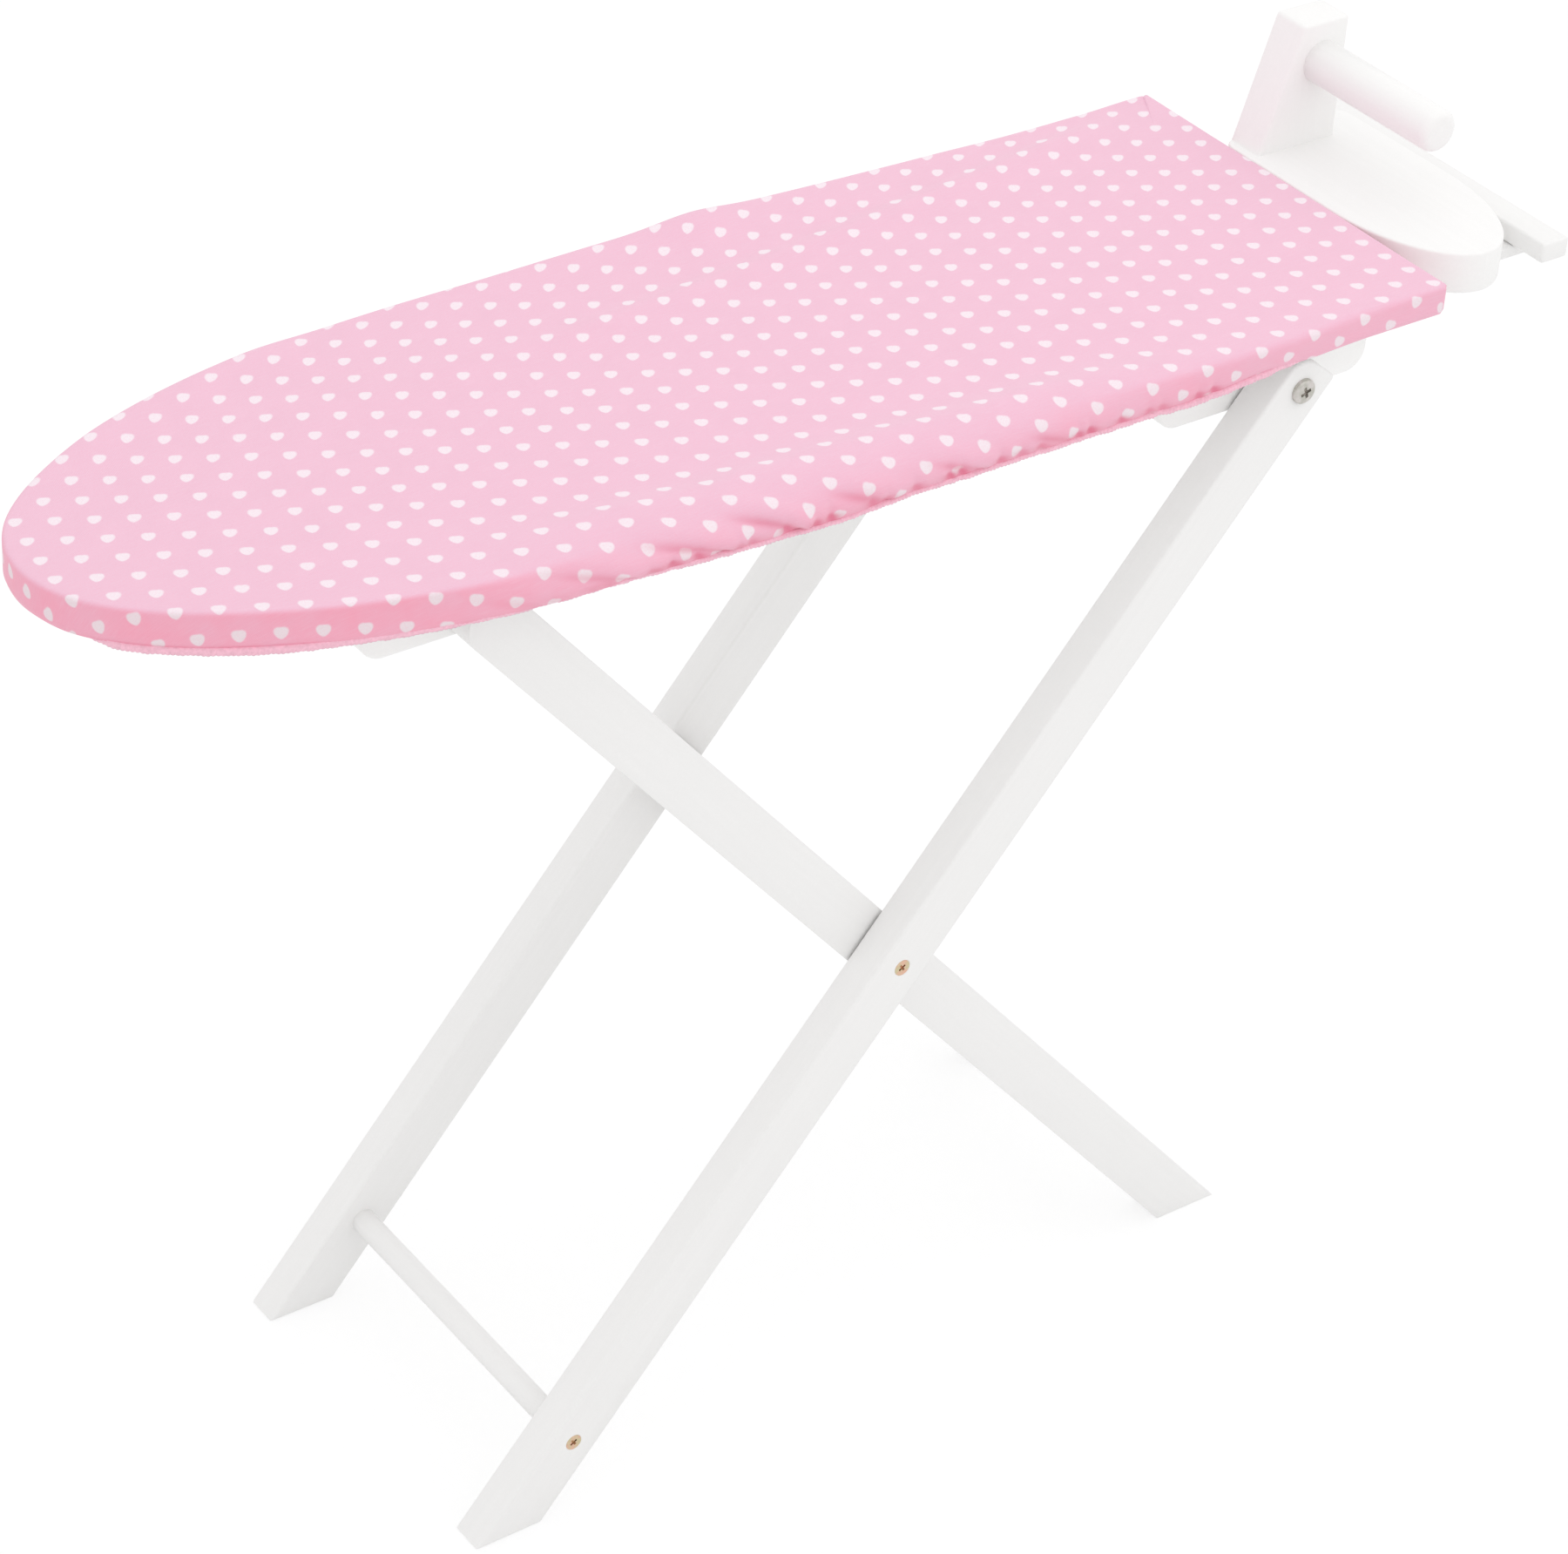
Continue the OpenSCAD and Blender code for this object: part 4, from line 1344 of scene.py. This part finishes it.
class TOYBOARD_OT_hardware(bpy.types.Operator):
    """Model the bolts and screws, and finish the nuts, washers, cleat screws and board"""

    bl_idname = "toyboard.hardware"
    bl_label = "Hardware"

    def execute(self, context):
        settings = hardware()
        bolt = pan_bolt()
        middle = wood_screw(settings.middle_screw)
        rung = wood_screw(settings.rung_screw)
        arm = wood_screw(settings.arm_screw)
        slat = wood_screw(settings.slat_screw)
        iron = wood_screw(settings.iron_screw)
        middle_spot, rung_spot = outer_screw_spots()
        for side in ("near", "far"):
            seat = side_seat(PIVOT, side)
            drive(bolt, "pivot_bolt_" + side, seat, "board", "zinc_steel", "pivot_bolts", 0.0)
            seat = side_seat(middle_spot, side)
            drive(middle, "mid_screw_" + side, seat, "inner_frame", "brass_screw", "mid_screws")
            seat = side_seat(rung_spot, side)
            drive(rung, "rung_screw_" + side, seat, "outer_frame", "brass_screw", "rung_screws")
            seats = zip((arm, arm, slat), rest_seats("rest_arm_" + side))
            for number, (screw, seat) in enumerate(seats, 1):
                drive(screw, f"rest_screw_{side}_{number}", seat, "board", "zinc_steel", "rest_screws")
        for number, seat in enumerate(iron_seats(), 1):
            drive(iron, f"iron_screw_{number}", seat, "iron", "zinc_steel", "iron_screws")
        for template in (bolt, middle, rung, arm, slat, iron):
            bpy.data.objects.remove(template, do_unlink=True)
        coat(frame["nodes"]["board"], painted_wood("along"))
        for node in ("pivot_nuts", "pivot_washers", "mid_washers", "cleat_screws"):
            coat(frame["nodes"][node], zinc_plate())
        return {"FINISHED"}


# Stage

SOFTBOX = Vector((0.5, -0.5, 1.8))
SOFTBOX_SIZE = 2.6
LIT_SPOT = Vector((0, 0, 0.3))
FLOOR_SIZE = 30
FLOOR_DROP = 0.2 * MM
FLOOR_GLOW = 0.765
WHITE = (1, 1, 1, 1)
PALE = (0.92, 0.92, 0.92, 1)
VEIL = (0.25, 0.25, 0.25, 1)
SENSOR = 36
SIGHT = 60


def only_looks(tree):
    """1 for rays that look at the stage and 0 for rays that gather its light"""
    path = add_node(tree, "ShaderNodeLightPath")
    looks = math_node(tree, "MAXIMUM", path.outputs["Is Camera Ray"], path.outputs["Is Glossy Ray"])
    return math_node(tree, "MAXIMUM", looks, path.outputs["Is Transmission Ray"])


class TOYBOARD_OT_stage(bpy.types.Operator):
    """Set the floor, the light and the camera"""

    bl_idname = "toyboard.stage"
    bl_label = "Stage"

    def make_world(self, scene):
        world = bpy.data.worlds.new("studio")
        scene.world = world
        world.use_nodes = True
        tree = world.node_tree
        light = tree.nodes["Background"]
        light.inputs["Color"].default_value = WHITE
        light.inputs["Strength"].default_value = scene.toyboard_stage.sky
        plain = add_node(tree, "ShaderNodeBackground", {"Color": WHITE, "Strength": 1.0})
        looks = only_looks(tree)
        mixed = add_node(tree, "ShaderNodeMixShader", {0: looks, 1: light.outputs[0], 2: plain.outputs[0]})
        tree.links.new(mixed.outputs[0], tree.nodes["World Output"].inputs["Surface"])

    def make_floor(self):
        deselect()
        bpy.ops.mesh.primitive_plane_add(size=FLOOR_SIZE, location=(0, 0, -FLOOR_DROP))
        floor = bpy.context.object
        floor.name = "floor"
        sockets = {"Base Color": PALE, "Roughness": 0.9, "Specular IOR Level": 0.0}
        material, tree, shader = new_material("pale_floor", sockets)
        veil = add_node(tree, "ShaderNodeBsdfDiffuse", {"Color": VEIL})
        glow = add_node(tree, "ShaderNodeEmission", {"Color": WHITE, "Strength": FLOOR_GLOW})
        seen = add_node(tree, "ShaderNodeAddShader", {0: veil.outputs[0], 1: glow.outputs[0]})
        looks = only_looks(tree)
        mixed = add_node(tree, "ShaderNodeMixShader", {0: looks, 1: shader.outputs[0], 2: seen.outputs[0]})
        tree.links.new(mixed.outputs[0], tree.nodes["Material Output"].inputs["Surface"])
        floor.data.materials.append(material)

    def make_lights(self, scene):
        deselect()
        bpy.ops.object.light_add(type="AREA", location=SOFTBOX)
        key = bpy.context.object
        key.name = "softbox"
        key.data.shape = "SQUARE"
        key.data.size = SOFTBOX_SIZE
        key.data.energy = scene.toyboard_stage.key
        key.rotation_euler = facing(SOFTBOX - LIT_SPOT)

    def make_camera(self, scene):
        deselect()
        stage = scene.toyboard_stage
        bpy.ops.object.camera_add(location=stage.eye, rotation=stage.turn)
        camera = bpy.context.object
        camera.data.sensor_width = SENSOR
        camera.data.lens = stage.lens
        camera.data.clip_end = SIGHT
        scene.camera = camera

    def execute(self, context):
        scene = context.scene
        scene.view_settings.view_transform = "Standard"
        self.make_camera(scene)
        self.make_world(scene)
        self.make_floor()
        self.make_lights(scene)
        return {"FINISHED"}


class TOYBOARD_PT_panel(bpy.types.Panel):
    """Lists the steps of the build"""

    bl_label = "Toy ironing board"
    bl_idname = "TOYBOARD_PT_panel"
    bl_space_type = "VIEW_3D"
    bl_region_type = "UI"
    bl_category = "Toy Board"

    def draw(self, context):
        for operator in STEPS:
            self.layout.operator(operator.bl_idname)


STEPS = (
    TOYBOARD_OT_stage,
    TOYBOARD_OT_legs,
    TOYBOARD_OT_rungs,
    TOYBOARD_OT_cleats,
    TOYBOARD_OT_rest,
    TOYBOARD_OT_iron,
    TOYBOARD_OT_cover,
    TOYBOARD_OT_hardware,
)
GROUPS = {
    "toyboard_wood": TOYBOARD_PG_wood,
    "toyboard_cover": TOYBOARD_PG_cover,
    "toyboard_hardware": TOYBOARD_PG_hardware,
    "toyboard_stage": TOYBOARD_PG_stage,
}
CLASSES = (*GROUPS.values(), *STEPS, TOYBOARD_PT_panel)


def register():
    for item in CLASSES:
        bpy.utils.register_class(item)
    for name, group in GROUPS.items():
        setattr(bpy.types.Scene, name, bpy.props.PointerProperty(type=group))


def unregister():
    for name in GROUPS:
        delattr(bpy.types.Scene, name)
    for item in reversed(CLASSES):
        bpy.utils.unregister_class(item)


def main():
    register()
    for operator in STEPS:
        group, name = operator.bl_idname.split(".")
        getattr(getattr(bpy.ops, group), name)()


if __name__ == "__main__":
    main()
